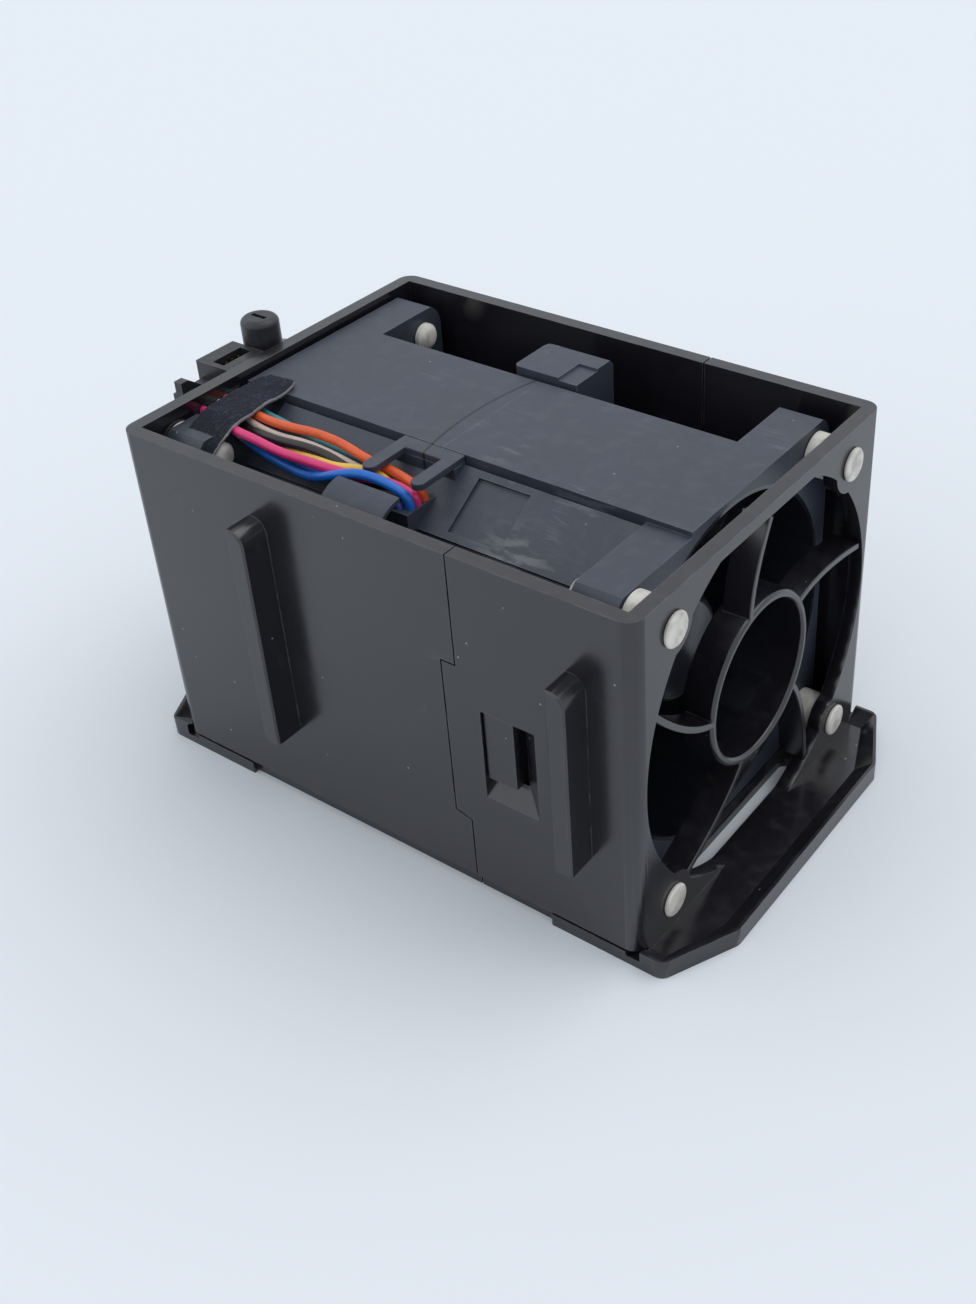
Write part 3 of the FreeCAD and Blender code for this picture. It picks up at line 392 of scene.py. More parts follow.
# %% Group: moulded grain
def build_grain(tree, given):
    grain_scale, wave_scale = 3600, 240
    patch_scale, freckle_scale, freckle_share = 55, 900, 0.35
    fine = times(object_noise(tree, grain_scale, detail=3), given["Fine"])
    waves = times(object_noise(tree, wave_scale, detail=1), given["Waves"])
    freckles = object_noise(tree, freckle_scale, detail=2)
    mottle = plus(object_noise(tree, patch_scale, detail=4),
                  times(freckles, freckle_share))
    return plus(fine, waves), remap(mottle, 0.4, 0.95)


moulded_grain = new_group("moulded_grain", {"Fine": 0.5, "Waves": 0.5}, ("Height", "Mottle"),
                          build_grain)

# %% [markdown]
# ## Rubbed edges, with painted edge highlights
# Hands and trays rub the corners first, and a rubbed corner of black plastic goes grey. The same
# pale colour also paints the thin highlights that small rounds catch, so the edge colour is partly
# rubbing and partly painted highlight. The Bevel node bends the normal near an edge, so comparing
# it with the true normal finds the edges of any mesh. Noise breaks the line up, because rubbing is
# never even.

# %% Group: rubbed edges, with painted edge highlights
def build_worn_lit_edges(tree, given):
    blunt, sharp = 0.01, 0.16           # how far the two normals part, from 0 to 1
    worn_lit_scale, least_worn_lit = 260, 0.15
    bent = add(tree, "Bevel", {"Radius": given["Width"]}, samples=6).outputs["Normal"]
    straight = add(tree, "NewGeometry").outputs["Normal"]
    alike = add(tree, "VectorMath", {0: bent, 1: straight}, operation="DOT_PRODUCT")
    edge = remap(minus(1.0, alike.outputs["Value"]), blunt, sharp)
    uneven = patches(tree, worn_lit_scale, 5, 0.36, 0.62, least_worn_lit)
    # the mask marks rubbed edges, and also paints thin highlights along them
    return [times(edge, uneven, given["Wear"])]


worn_lit_edges = new_group("worn_lit_edges", {"Width": 0.0003, "Wear": 0.5}, ["Mask"], build_worn_lit_edges)

# %% [markdown]
# ## Dust and lint
# A fine pale film settles on whatever faces up, and single specks of lint stick anywhere. The
# film follows the upward part of the normal, broken into clouds. The specks are cells of a Voronoi
# pattern, of which only a few are kept, so that they lie apart.

# %% Group: dust
def build_dust(tree, given):
    cloud_scale, speck_scale = 420, 560.0
    speck_rim, speck_core = 0.13, 0.06  # distances from a cell's middle, in cells
    rarity = 0.955                      # the share of cells without a speck
    place = add(tree, "TexCoord").outputs
    upward = add(tree, "SeparateXYZ", {"Vector": place["Normal"]}).outputs["Z"]
    level = remap(upward, 0.15, 0.95)
    clouds = patches(tree, cloud_scale, 8, 0.46, 0.74)
    cells = add(tree, "TexVoronoi", {"Vector": place["Object"], "Scale": speck_scale}).outputs
    near = remap(cells["Distance"], speck_rim, speck_core)
    chosen = add(tree, "SeparateColor", {"Color": cells["Color"]}).outputs["Red"]
    kept = calc("GREATER_THAN", chosen, rarity)
    return times(level, clouds, given["Film"]), times(near, kept, given["Specks"])


settled_dust = new_group("settled_dust", {"Film": 0.3, "Specks": 0.5}, ("Film", "Specks"),
                         build_dust)

# %% [markdown]
# ## Fine scratches
# Fans are pulled out and pushed back by hand, and grit leaves short hair scratches. Noise squeezed
# into long thin cells gives lines where it crosses its middle value, and a second noise keeps only
# stretches of them.

# %% Group: scratches
def build_scratches(tree, given):
    ways = ((0.35, 170), (-0.8, 120), (1.35, 95))   # angle in radians, and scale
    squeeze = (0.12, 2.4, 1.0)
    line_rim, line_core = 0.006, 0.0015
    lines = []
    for angle, scale in ways:
        cells = object_noise(tree, scale, detail=1, stretch=squeeze, turned=(0, 0, angle))
        off_middle = calc("ABSOLUTE", minus(cells, 0.5))
        lines.append(remap(off_middle, line_rim, line_core))
    stretches = patches(tree, 130, 3, 0.54, 0.66)
    return [times(calc("MAXIMUM", *lines), stretches, given["Amount"])]


hair_scratches = new_group("hair_scratches", {"Amount": 0.5}, ["Mask"], build_scratches)

# %% [markdown]
# ## Scuffs
# Where a hand or a rack slides over a shoulder again and again, the plastic goes whitish in one
# place and stays dark beside it. A spot with a soft edge says where, and streaky noise says how.
# The material gives the group its spot, so that one group serves any place.

# %% Group: a scuffed spot
def build_scuff(tree, given):
    streak_scale, streak_turn = 420, 0.5
    place = add(tree, "TexCoord").outputs["Object"]
    spot = add(tree, "CombineXYZ", {axis: given[axis] for axis in "XYZ"}).outputs["Vector"]
    apart = add(tree, "VectorMath", {0: place, 1: spot}, operation="DISTANCE").outputs["Value"]
    near = remap(calc("DIVIDE", apart, given["Reach"]), 1.0, 0.15)
    streaks = object_noise(tree, streak_scale, detail=7, stretch=(0.5, 1.6, 1.0),
                           turned=(0, 0, streak_turn))
    return [times(near, remap(streaks, 0.46, 0.62), given["Amount"])]


scuffed_spot = new_group("scuffed_spot", {"X": 0.0, "Y": 0.0, "Z": 0.0, "Reach": 0.006,
                                          "Amount": 0.5}, ["Mask"], build_scuff)

# %% [markdown]
# ## Moulded plastics
# Carrier, fan frames, rotors and plug are all black moulded plastic, but not the same one: the
# carrier mirrors the table, the glass-filled fan frames are greyer and duller, and the blades are
# the smoothest. One function builds all four from the same groups, with their own amounts.

# %% Black plastics
dust_colour = paint(168, 170, 172)
# painted shade: the darker colour inside the fan ducts
bore_shade_colour = paint(20, 23, 29)
seam_colour = (0.001, 0.001, 0.001, 1)
# how wide the rubbed edges and their painted highlights are
worn_lit_width = 0.00035
speck_amount = 0.55
mottle_dulls, dust_dulls, rub_dulls = 0.07, 0.35, 0.12  # what each adds to the roughness
bore_polish = 0.6                       # what the bore takes from the roughness
seam_half_width = 0.0125
seam_bow = 0.0014
seam_rim, seam_core = 0.00028, 0.00016  # half widths of the line
seam_least_z = 0.0585
plate_share = 1.19                      # the plates end this many half widths out
# Inside this radius the colour is also painted darker, as shade.
bore_radius = 0.0286                    # inside this the ducts are polished
plate_seam = -0.0047                    # the joint of the two top plates, along x


def seam_line(tree, seam):
    """1 on the fine joint between the two fans, which bows a little towards the plug."""
    along, side, height = place_parts(tree)[:3]
    side = calc("DIVIDE", side, seam_half_width)
    bow = times(minus(1.0, times(side, side)), seam_bow)
    off = plus(minus(along, seam), bow)
    line = remap(calc("ABSOLUTE", off), seam_rim, seam_core)
    level = calc("GREATER_THAN", height, seam_least_z)
    on_plate = calc("LESS_THAN", calc("ABSOLUTE", side), plate_share)
    return times(line, level, on_plate)


def moulded_plastic(name, colour, pale, worn_lit_colour, gloss, fine, waves, wear_and_highlight, film, scratches,
                    grain_depth, reflection=0.5, spots=(), seam=None, bore=None):
    """Black plastic: its own colour and a paler one, its roughness, and amounts of each effect.

    Spots are scuffed places as (x, y, z, reach, amount). Seam is the x of a fine dark joint.
    Inside the bore's radius about the fans' axis the plastic is smoother, and its colour is
    painted darker as shade.
    """
    material, tree = start_material(name)
    grain = use_group(tree, moulded_grain, Fine=fine, Waves=waves)
    worn_lit = use_group(tree, worn_lit_edges, Width=worn_lit_width, Wear=wear_and_highlight)["Mask"]
    dust = use_group(tree, settled_dust, Film=film, Specks=speck_amount)
    lines = use_group(tree, hair_scratches, Amount=scratches)["Mask"]
    skin = blend(grain["Mottle"], colour, pale)
    # pale on edges: partly rubbed plastic, partly a painted highlight; the scratches are real
    for mask in (worn_lit, lines):
        skin = blend(mask, skin, worn_lit_colour)
    for x, y, z, reach, amount in spots:
        scuff = use_group(tree, scuffed_spot, X=x, Y=y, Z=z, Reach=reach, Amount=amount)
        skin = blend(scuff["Mask"], skin, dust_colour)
    dusty = calc("MAXIMUM", dust["Film"], dust["Specks"])
    skin = blend(dusty, skin, dust_colour)
    if seam is not None:
        skin = blend(seam_line(tree, seam), skin, seam_colour)
    rough = plus(times(grain["Mottle"], mottle_dulls), gloss,
                 times(dusty, dust_dulls), times(worn_lit, rub_dulls))
    if bore is not None:
        inside = calc("LESS_THAN", place_parts(tree)[3], bore)
        # painted shade darkens the colour inside the duct; the smoother finish is the plastic's
        # own
        skin = blend(inside, skin, bore_shade_colour)
        rough = times(rough, minus(1.0, times(inside, bore_polish)))
    height = minus(grain["Height"], lines)
    finish_shader(tree, skin, rough, height, grain_depth, 1.0, {"Specular IOR Level": reflection})
    return material


# The third colour of each goes on edges and scratches; on edges it is partly a painted highlight.
carrier_black = moulded_plastic("carrier_black", paint(21, 20, 25), paint(27, 26, 32),
                                paint(92, 93, 100), gloss=0.19, fine=0.45, waves=0.9, wear_and_highlight=0.6,
                                film=0.03, scratches=0.10, grain_depth=0.000012,
                                reflection=0.80)
fan_charcoal = moulded_plastic("fan_charcoal", paint(47, 52, 64), paint(56, 61, 75),
                               paint(118, 124, 136), gloss=0.42, fine=1.0, waves=0.4, wear_and_highlight=0.5,
                               film=0.04, scratches=0.25, grain_depth=0.00001, reflection=0.6,
                               spots=((0.0300, -0.0235, 0.0505, 0.0085, 0.55),
                                      (0.0170, -0.0215, 0.0520, 0.0110, 0.30),
                                      (0.0060, -0.0060, 0.0612, 0.0060, 0.12)),
                               seam=plate_seam, bore=bore_radius)
rotor_black = moulded_plastic("rotor_black", paint(21, 24, 30), paint(26, 29, 36),
                              paint(70, 74, 82), gloss=0.15, fine=0.15, waves=0.7, wear_and_highlight=0.3,
                              film=0.03, scratches=0.08, grain_depth=0.000008,
                              reflection=0.6)
plug_black = moulded_plastic("plug_black", paint(31, 31, 35), paint(40, 40, 44),
                             paint(98, 98, 102), gloss=0.34, fine=0.8, waves=0.4, wear_and_highlight=0.6,
                             film=0.08, scratches=0.15, grain_depth=0.00001)
print("black plastics for the carrier, the fans, the rotors and the plug")

# %% [markdown]
# ## Soft rubber
# The pins are pale silicone rubber. It lets a little light in, shows greyish finger marks and has
# a faint powdery bloom. Subsurface light is a fixed property of the stuff and is set on the
# shader; the marks are two noises.

# %% Rubber
def soft_rubber():
    material, tree = start_material("pin_rubber")
    marks = patches(tree, 420, 5, 0.40, 0.72)
    bloom = object_noise(tree, 2600, detail=3)
    skin = blend(marks, paint(214, 211, 203), paint(168, 165, 158))
    skin = blend(times(bloom, 0.25), skin, paint(232, 230, 224))
    finish_shader(tree, skin, remap(marks, 0, 1, 0.62, 0.48), bloom, 0.00003, 0.6,
                  {"Subsurface Weight": 0.12, "Subsurface Radius": (0.0012, 0.0010, 0.0008)})
    return material


pin_rubber = soft_rubber()
print("rubber:", pin_rubber.name)

# %% [markdown]
# ## Wire insulation
# Soft PVC shines in a broad line along each wire. Extruded insulation has faint rings and small
# scuffs, and its dye is never perfectly even. One function makes all eight colours, so that they
# differ only in dye.

# %% Insulation in eight colours
wire_colours = {"orange": paint(226, 96, 48), "teal": paint(70, 150, 158),
                "white": paint(206, 188, 180), "black": paint(38, 35, 34),
                "violet": paint(72, 98, 196), "pink": paint(224, 52, 122),
                "yellow": paint(232, 192, 84), "blue": paint(26, 108, 206)}


def insulation(colour):
    material, tree = start_material("insulation_" + colour)
    dye = wire_colours[colour]
    darker = tuple(value * 0.72 for value in dye[:3]) + (1,)
    faded = patches(tree, 330, 4, 0.35, 0.75)
    scuffs = patches(tree, 1500, 3, 0.66, 0.78)
    skin = blend(times(faded, 0.5), dye, darker)
    skin = blend(times(scuffs, 0.18), skin, dust_colour)
    rings = object_noise(tree, 1100, detail=1, stretch=(2.2, 0.5, 0.5))
    finish_shader(tree, skin, remap(faded, 0, 1, 0.30, 0.44), rings, 0.00003, 0.5,
                  {"Subsurface Weight": 0.05, "Subsurface Radius": (0.0005, 0.0004, 0.0003)})
    return material


for colour, wire in wires.items():
    wire.data.materials.append(insulation(colour))
print("insulation:", ", ".join(wires))

# %% [markdown]
# ## Metals and magnet
# Inside each hub sit a pressed steel cup, a ring magnet, a wound stator and two bearings on a
# ground shaft. Turned parts carry rings, pressed steel is dull and a little stained, and a magnet
# is a bound powder without any grain direction.

# %% Worked metal
def worked_metal(name, colour, stain, gloss, pattern_scale, stretch, depth, metallic=1.0):
    """Metal with marks of its tool. Stretch lays the marks along one way."""
    material, tree = start_material(name)
    marks = object_noise(tree, pattern_scale, detail=3, stretch=stretch)
    stains = patches(tree, 300, 4, 0.45, 0.75)
    skin = blend(times(marks, 0.3), colour, stain)
    skin = blend(times(stains, 0.6), skin, stain)
    rough = plus(times(marks, 0.12), gloss, times(stains, 0.15))
    finish_shader(tree, skin, rough, marks, depth, 0.8, {"Metallic": metallic})
    return material


even = (1, 1, 1)
turned_rings = (8, 1, 1)
metal_table = {         # colour, stain, gloss, marks per metre, their stretch and their depth
    "yoke_steel": (paint(150, 152, 156), paint(112, 110, 108), 0.34, 900, even, 0.00001),
    "magnet_black": (paint(44, 44, 48), paint(60, 58, 58), 0.50, 2600, even, 0.00002, 0.15),
    "shaft_steel": (paint(196, 198, 202), paint(160, 160, 162), 0.16, 1500, turned_rings,
                    0.000004),
    "tube_brass": (paint(204, 168, 92), paint(150, 116, 62), 0.24, 1200, turned_rings, 0.000008),
    "bearing_steel": (paint(186, 188, 192), paint(140, 140, 144), 0.18, 1300, turned_rings,
                      0.000005),
    "screw_steel": (paint(158, 158, 162), paint(104, 100, 98), 0.30, 1100, even, 0.00001),
    "contact_brass": (paint(220, 182, 98), paint(164, 126, 66), 0.26, 1800, even, 0.000006)}
metals = {name: worked_metal(name, *row) for name, row in metal_table.items()}
print("metals:", ", ".join(metals))

# %% [markdown]
# ## Stator, windings and board
# A stator is a stack of half-millimetre steel sheets, and the coils are wound in layers three
# tenths of a millimetre apart. Both repeat at a real pitch, so a sine of the distance draws them
# exactly. The board behind them is green lacquer over copper tracks.

# %% Stator, windings and board
sheet_pitch = 0.0005
wire_pitch = 0.0003
track_pitch = 0.0016
weave_pitch = 0.0006


def bands(tree, distance, pitch):
    """A wave from 0 to 1 that repeats every pitch."""
    wave = calc("SINE", times(distance, 2 * math.pi / pitch))
    return times(plus(wave, 1.0), 0.5)


def banded_metal(name, colour, gap_colour, gloss, along_axis, pitch, depth):
    material, tree = start_material(name)
    parts = place_parts(tree)
    lines = bands(tree, parts[0] if along_axis else parts[3], pitch)
    stains = patches(tree, 420, 4, 0.40, 0.72)
    skin = blend(remap(lines, 0.0, 0.45), gap_colour, colour)
    skin = blend(times(stains, 0.5), skin, gap_colour)
    finish_shader(tree, skin, remap(stains, 0, 1, gloss, gloss + 0.16), lines, depth, 0.9,
                  {"Metallic": 1.0})
    return material


def lacquered_board():
    material, tree = start_material("lacquered_board")
    side, tall, from_axis = place_parts(tree)[1:]
    tracks = remap(bands(tree, from_axis, track_pitch), 0.55, 0.62)
    spokes = patches(tree, 380, 0, 0.50, 0.52)
    copper = times(tracks, spokes)
    weave = times(bands(tree, side, weave_pitch), bands(tree, tall, weave_pitch))
    skin = blend(copper, paint(22, 74, 44), paint(48, 112, 62))
    skin = blend(times(weave, 0.25), skin, paint(34, 92, 54))
    height = plus(copper, times(weave, 0.15))
    finish_shader(tree, skin, remap(copper, 0, 1, 0.28, 0.36), height, 0.00004, 0.8,
                  {"Coat Weight": 0.4})
    return material


stator_steel = banded_metal("stator_steel", paint(138, 140, 146), paint(58, 58, 62), 0.34,
                            True, sheet_pitch, 0.00003)
copper_wire = banded_metal("copper_wire", paint(206, 118, 66), paint(92, 40, 22), 0.26,
                           False, wire_pitch, 0.00006)
board_green = lacquered_board()
print("patterned:", stator_steel.name, copper_wire.name, board_green.name)

# %% [markdown]
# ## Small mouldings
# The catch over the seam and the wire guides are small, but they sit where the eye rests. Each is
# lofted from outlines that are drawn in the section a toolmaker would cut, which takes rounds,
# undercuts and recesses with few points.

# %% Helpers that loft and turn
edge_angle = math.radians(30)           # a sharper turn than this counts as an edge


def arc(middle, radius, start, end, count=14):
    """Points on an arc about a middle, between two angles in degrees."""
    turns = [math.radians(start + (end - start) * k / count) for k in range(count + 1)]
    return [(middle[0] + radius * math.cos(t), middle[1] + radius * math.sin(t)) for t in turns]


def bridge(shell, rings, ends="caps", slot=0):
    """Faces between rings of corners. Ends are caps, or open, or joined to a hoop."""
    pairs = list(zip(rings, rings[1:])) + ([(rings[-1], rings[0])] if ends == "hoop" else [])
    faces = []
    for a, b in pairs:
        for k in range(len(a)):
            n = (k + 1) % len(a)
            faces.append((a[k], a[n], b[n], b[k]))
    if ends == "caps":
        faces += [rings[0], rings[-1]]
    for corners in faces:
        shell.faces.new(corners).material_index = slot


def loft(shell, sections, up_axis):
    """Joins outlines of equal count at rising distances, and closes both ends."""
    rings = []
    for distance, outline in sections:
        if up_axis == "x":
            places = [(distance, first, second) for first, second in outline]
        else:
            places = [(first, second, distance) for first, second in outline]
        rings.append([shell.verts.new(place) for place in places])
    bridge(shell, rings)


def turned_ring(shell, profile, y, z, count=40, ends="caps"):
    """A solid of revolution about a line along x through (y, z). Profile is (x, radius)."""
    rings = []
    for x, radius in profile:
        rings.append([shell.verts.new((x, y + radius * math.cos(2 * math.pi * k / count),
                                       z + radius * math.sin(2 * math.pi * k / count)))
                      for k in range(count)])
    bridge(shell, rings, ends)


def smooth_mesh(shell, name):
    """A mesh of the bmesh, with its faces turned outward and shaded smooth."""
    bmesh.ops.recalc_face_normals(shell, faces=shell.faces)
    for face in shell.faces:
        face.smooth = True
    mesh = bpy.data.meshes.new(name)
    shell.to_mesh(mesh)
    shell.free()
    return mesh


def round_edges(piece, width):
    edge = piece.modifiers.new("edge_round", "BEVEL")
    edge.width = width
    edge.segments = 2
    edge.limit_method = "ANGLE"
    edge.angle_limit = edge_angle
    edge.harden_normals = True


def finish_piece(shell, name, node, material, edge):
    """Turns a bmesh into an object that stands for a CAD node."""
    bmesh.ops.remove_doubles(shell, verts=shell.verts, dist=1e-6)
    mesh = smooth_mesh(shell, name)
    mesh.set_sharp_from_angle(angle=edge_angle)
    mesh.materials.append(material)
    piece = show(name, mesh)
    if edge:
        round_edges(piece, edge)
    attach(piece, "carrier")
    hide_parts(node)


def fan_moulding(name, node, edge, *lofts):
    """A piece of the fans' plastic, made of one loft or more, each (sections, axis)."""
    shell = bmesh.new()
    for sections, up_axis in lofts:
        loft(shell, sections, up_axis)
    finish_piece(shell, name, node, fan_charcoal, edge)


print("helpers for outlines, lofts and turned rings")

# %% The catch over the seam
duct_radius = 0.02925                   # the round that the small mouldings sit on
duct_middle = (0.0, fan_axis_z)
plate_top = fan_axis_z + 0.0295


def duct_angle(y):
    """Where the duct's round has this y, in degrees."""
    return math.degrees(math.acos(y / duct_radius))


def block_outline(near, far, top, recess, recess_width):
    lip, undercut, bevel = 0.0023, 0.0026, 0.0009
    return ([(near + undercut, top - lip - undercut), (near, top - lip), (near, top - recess),
             (near + recess_width, top - recess), (near + recess_width, top),
             (far - bevel, top), (far, top - bevel)]
            + arc(duct_middle, duct_radius, duct_angle(far), duct_angle(near + undercut)))


def clamped(outline, low_y, high_y):
    return [(min(max(y, low_y), high_y), z) for y, z in outline]


def make_block():
    near, far, top = 0.0159, 0.0262, plate_top + 0.001
    front, rear = plate_seam + 0.0079, plate_seam - 0.0046
    recess_width, recess_length, recess_depth, step = 0.0059, 0.0036, 0.0004, 0.00002
    plain = block_outline(near, far, top, 0.0, recess_width)
    cut = block_outline(near, far, top, recess_depth, recess_width)
    sections = [(rear, clamped(plain, near + 0.0007, far - 0.0020)),
                (rear + 0.0003, clamped(plain, near + 0.0002, far - 0.0011)),
                (rear + 0.0009, clamped(plain, near, far - 0.0004)), (rear + 0.0020, plain),
                (front - recess_length, plain), (front - recess_length + step, cut),
                (front, cut)]
    fan_moulding("seam_catch", "seam_block", 0.00025, (sections, "x"))


make_block()
print("seam catch made")

# %% [markdown]
# ## Wire guides
# Two fingers reach over the wires from a bar on the top plate, a curved guard holds them off the
# wall, and a grommet takes them into the fans. The fingers are a comb drawn from above. The guard
# and the grommet are sections drawn from the end and pulled along the fan.

# %% The fingers, the guard and the grommet
def make_fingers():
    rear, front = plate_seam - 0.0059, plate_seam + 0.0059
    width, tip = 0.0024, -0.0195
    bar_far, bar_near = -0.01005, -0.0129
    thickness, bar_height, overlap = 0.0012, 0.0037, 0.0001
    comb = ([(rear, bar_far), (front, bar_far)]
            + arc((front - width / 2, tip), width / 2, 0, -180, 12)
            + [(front - width, bar_near), (rear + width, bar_near)]
            + arc((rear + width / 2, tip), width / 2, 0, -180, 12))
    bar = [(rear, bar_far), (front, bar_far), (front, bar_near), (rear, bar_near)]
    top = [(plate_top - thickness, comb), (plate_top, comb)]
    foot = [(plate_top - bar_height, bar), (plate_top - thickness + overlap, bar)]
    fan_moulding("wire_fingers", "wire_retainer", 0.0002, (top, "z"), (foot, "z"))


def make_guard_for_wires():
    middle, outer, thickness = (-0.0241, 0.0543), 0.0064, 0.001
    inner = outer - thickness
    foot = 0.0390
    outline = (arc(middle, outer, 88, 180) + [(middle[0] - outer, foot), (middle[0] - inner, foot)]
               + arc(middle, inner, 180, 88))
    sections = [(plate_seam - 0.0071, outline), (plate_seam + 0.0049, outline)]
    fan_moulding("wire_guard", "wire_saddle", 0.0003, (sections, "x"))


def make_grommet():
    near, far, top = -0.0224, -0.0157, 0.0565
    outline = [(near, top), (far, top)] + arc(duct_middle, duct_radius, duct_angle(far),
                                              duct_angle(near))
    sections = [(plate_seam - 0.0024, outline), (plate_seam + 0.0044, outline)]
    fan_moulding("wire_entry", "wire_grommet", 0.0003, (sections, "x"))


make_fingers()
make_guard_for_wires()
make_grommet()
print("wire guides made")

# %% [markdown]
# ## Rubber pins
# Each fan hangs on four soft pins, pulled through the flange and the wall, with a thick collar
# between the two. A pin is round, so half of its section is drawn and turned. The head is dished a
# little in the middle, where the mould had its pip.

# %% Eight rubber pins
pin_reach = 0.0250                      # from the fan's axis to each pin, sideways and up
neck = 1.9                              # radius in the holes, in millimetres
carrier_face, carrier_inner, ear_depth = 0.047725, 0.0453, 0.0076


def pin_profile(way, fan_end, tip_end):
    """Half sections (x, radius) from the tip inside to the head outside, which way points."""
    face, inner, ear_back = way * carrier_face, way * carrier_inner, fan_end - way * ear_depth
    steps = (                           # from where, then millimetres outward and the radius
        (tip_end, 0, 0.1), (tip_end, 0, 1.4), (tip_end, 0.2, 1.8), (tip_end, 0.8, 2.4),
        (ear_back, -0.2, 2.4), (ear_back, 0, 2.1), (ear_back, 0, neck), (fan_end, 0.05, neck),
        (fan_end, 0.05, 3.3), (fan_end, 0.2, 3.5), (inner, -0.2, 3.5), (inner, -0.05, 3.3),
        (inner, -0.05, neck), (face, 0.05, neck), (face, 0.05, 2.6), (face, 0.2, 2.7),
        (face, 0.45, 2.7), (face, 0.65, 2.5), (face, 0.7, 2.2), (face, 0.63, 1.6),
        (face, 0.53, 0.8), (face, 0.5, 0.1))
    return [(start + way * step / 1000, radius / 1000) for start, step, radius in steps]


def make_pins(side, way):
    outward, inward = (1, 0) if way > 0 else (0, 1)
    fan_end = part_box(side + "_fan_frame")[outward].x
    profile = pin_profile(way, fan_end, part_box(side + "_isolators")[inward].x)
    shell = bmesh.new()
    for y in (-pin_reach, pin_reach):
        for z in (fan_axis_z - pin_reach, fan_axis_z + pin_reach):
            turned_ring(shell, profile, y, z)
    finish_piece(shell, side + "_pins", side + "_isolators", pin_rubber, 0.0)


make_pins("front", 1)
make_pins("rear", -1)
print("pins: four in front, four behind")

# %% [markdown]
# ## Finger guards
# A guard keeps fingers off the blades and must not choke the air, so its ring and five spokes are
# thin from the front and deep along the air flow. The spokes lean round as they go out, which
# spreads the whistle that straight ones would make.

# %% Guards
guard_outer, guard_inner, guard_rim = 0.0142, 0.0127, 0.0004
spoke_count, spoke_steps = 5, 24
spoke_depth = 0.0046
spoke_front, spoke_root = 0.0011, 0.0014   # widths of a fin
opening_radius = 0.0318
spoke_overrun = 0.003                   # the arc runs on this far and is then cut off
spoke_turn = (34.0, 22.0)               # where a spoke leaves the ring, and half way out
spoke_end = 10.0                        # and where it passes the opening's edge, in degrees


def around(radius, degrees):
    turn = math.radians(degrees)
    return Vector((radius * math.cos(turn), fan_axis_z + radius * math.sin(turn)))


def make_spoke(shell, first_turn, face, depth, way, top):
    """A fin through three places, stopped where it meets the opening's edge."""
    middle = (guard_outer + guard_inner) / 2
    root = around(middle, spoke_turn[0] + first_turn)
    half = around((middle + opening_radius) / 2, spoke_turn[1] + first_turn)
    end = around(opening_radius + spoke_overrun, spoke_end + first_turn)
    chord = (end - root).normalized()
    sideways = Vector((-chord.y, chord.x))
    rings = []
    for step in range(spoke_steps + 1):
        t = step / spoke_steps
        place = root * (1 - t) * (1 - 2 * t) + half * 4 * t * (1 - t) + end * t * (2 * t - 1)
        if (place - Vector((0, fan_axis_z))).length > opening_radius or place.y > top:
            break
        ring = []
        for x, width in ((face, spoke_front), (face - way * depth, spoke_root)):
            for side in ((-1, 1) if x == face else (1, -1)):
                corner = place + sideways * side * width / 2
                ring.append(shell.verts.new((x, corner.x, corner.y)))
        rings.append(ring)
    bridge(shell, rings)


def make_finger_guard(side, face, back, top):
    way = 1 if face > back else -1
    rounded = face - way * guard_rim
    section = [(back, guard_inner), (rounded, guard_inner), (face, guard_inner + guard_rim),
               (face, guard_outer - guard_rim), (rounded, guard_outer), (back, guard_outer)]
    shell = bmesh.new()
    turned_ring(shell, section, 0, fan_axis_z, count=96, ends="hoop")
    depth = min(spoke_depth, abs(face - back))
    for number in range(spoke_count):
        make_spoke(shell, 360 / spoke_count * number, face, depth, way, top)
    finish_piece(shell, side + "_finger_guard", side + "_guard",
                 carrier_black, 0.0002)


for side in ("front", "rear"):
    low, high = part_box(side + "_guard")
    ends = (high.x, low.x) if side == "front" else (low.x, high.x)
    make_finger_guard(side, *ends, top=high.z)
print("finger guards: five spokes each")

# %% [markdown]
# ## A finish for every piece
# A piece's name says what it is made of, so a short table from the end of each name to a material
# is easier to check than forty assignments.

# %% Put the finishes on the pieces
finishes = {"carrier": carrier_black, "guard": carrier_black, "fan_frame": fan_charcoal,
            "seam_block": fan_charcoal, "wire_saddle": fan_charcoal,
            "wire_retainer": fan_charcoal, "wire_grommet": fan_charcoal,
            "impeller": rotor_black, "isolators": pin_rubber, "connector_housing": plug_black,
            "connector_contacts": metals["contact_brass"],
            "connector_screws": metals["screw_steel"], "yoke": metals["yoke_steel"],
            "magnet": metals["magnet_black"], "shaft": metals["shaft_steel"],
            "shaft_clip": metals["shaft_steel"], "preload_spring": metals["shaft_steel"],
            "bearing_tube": metals["tube_brass"], "bearings": metals["bearing_steel"],
            "stator_core": stator_steel, "windings": copper_wire, "motor_board": board_green}


def finish_of(name):
    """The finish whose key is the whole name, or the longest end of it."""
    fitting = [key for key in finishes if name == key or name.endswith("_" + key)]
    return finishes[max(fitting, key=len)] if fitting else None


unpainted = []
for name, piece in nodes.items():
    finish = finish_of(name)
    if finish is None:
        unpainted.append(name)
        continue
    piece.data.materials.clear()
    piece.data.materials.append(finish)
print("finished:", len(nodes) - len(unpainted), "left for curves and cloth:", unpainted)

# %% [markdown]
# ## Softened edges
# No moulded edge is truly sharp, and without a small round an edge can't catch light. The
# modifiers first join and clean the CAD triangles, then bevel only the sharp edges by about a
# seventh of a millimetre. The CAD shape underneath stays as it is.

# %% Soften the moulded pieces
edge_width = 0.00015
moulded = ("carrier", "fan_frame", "connector_housing")


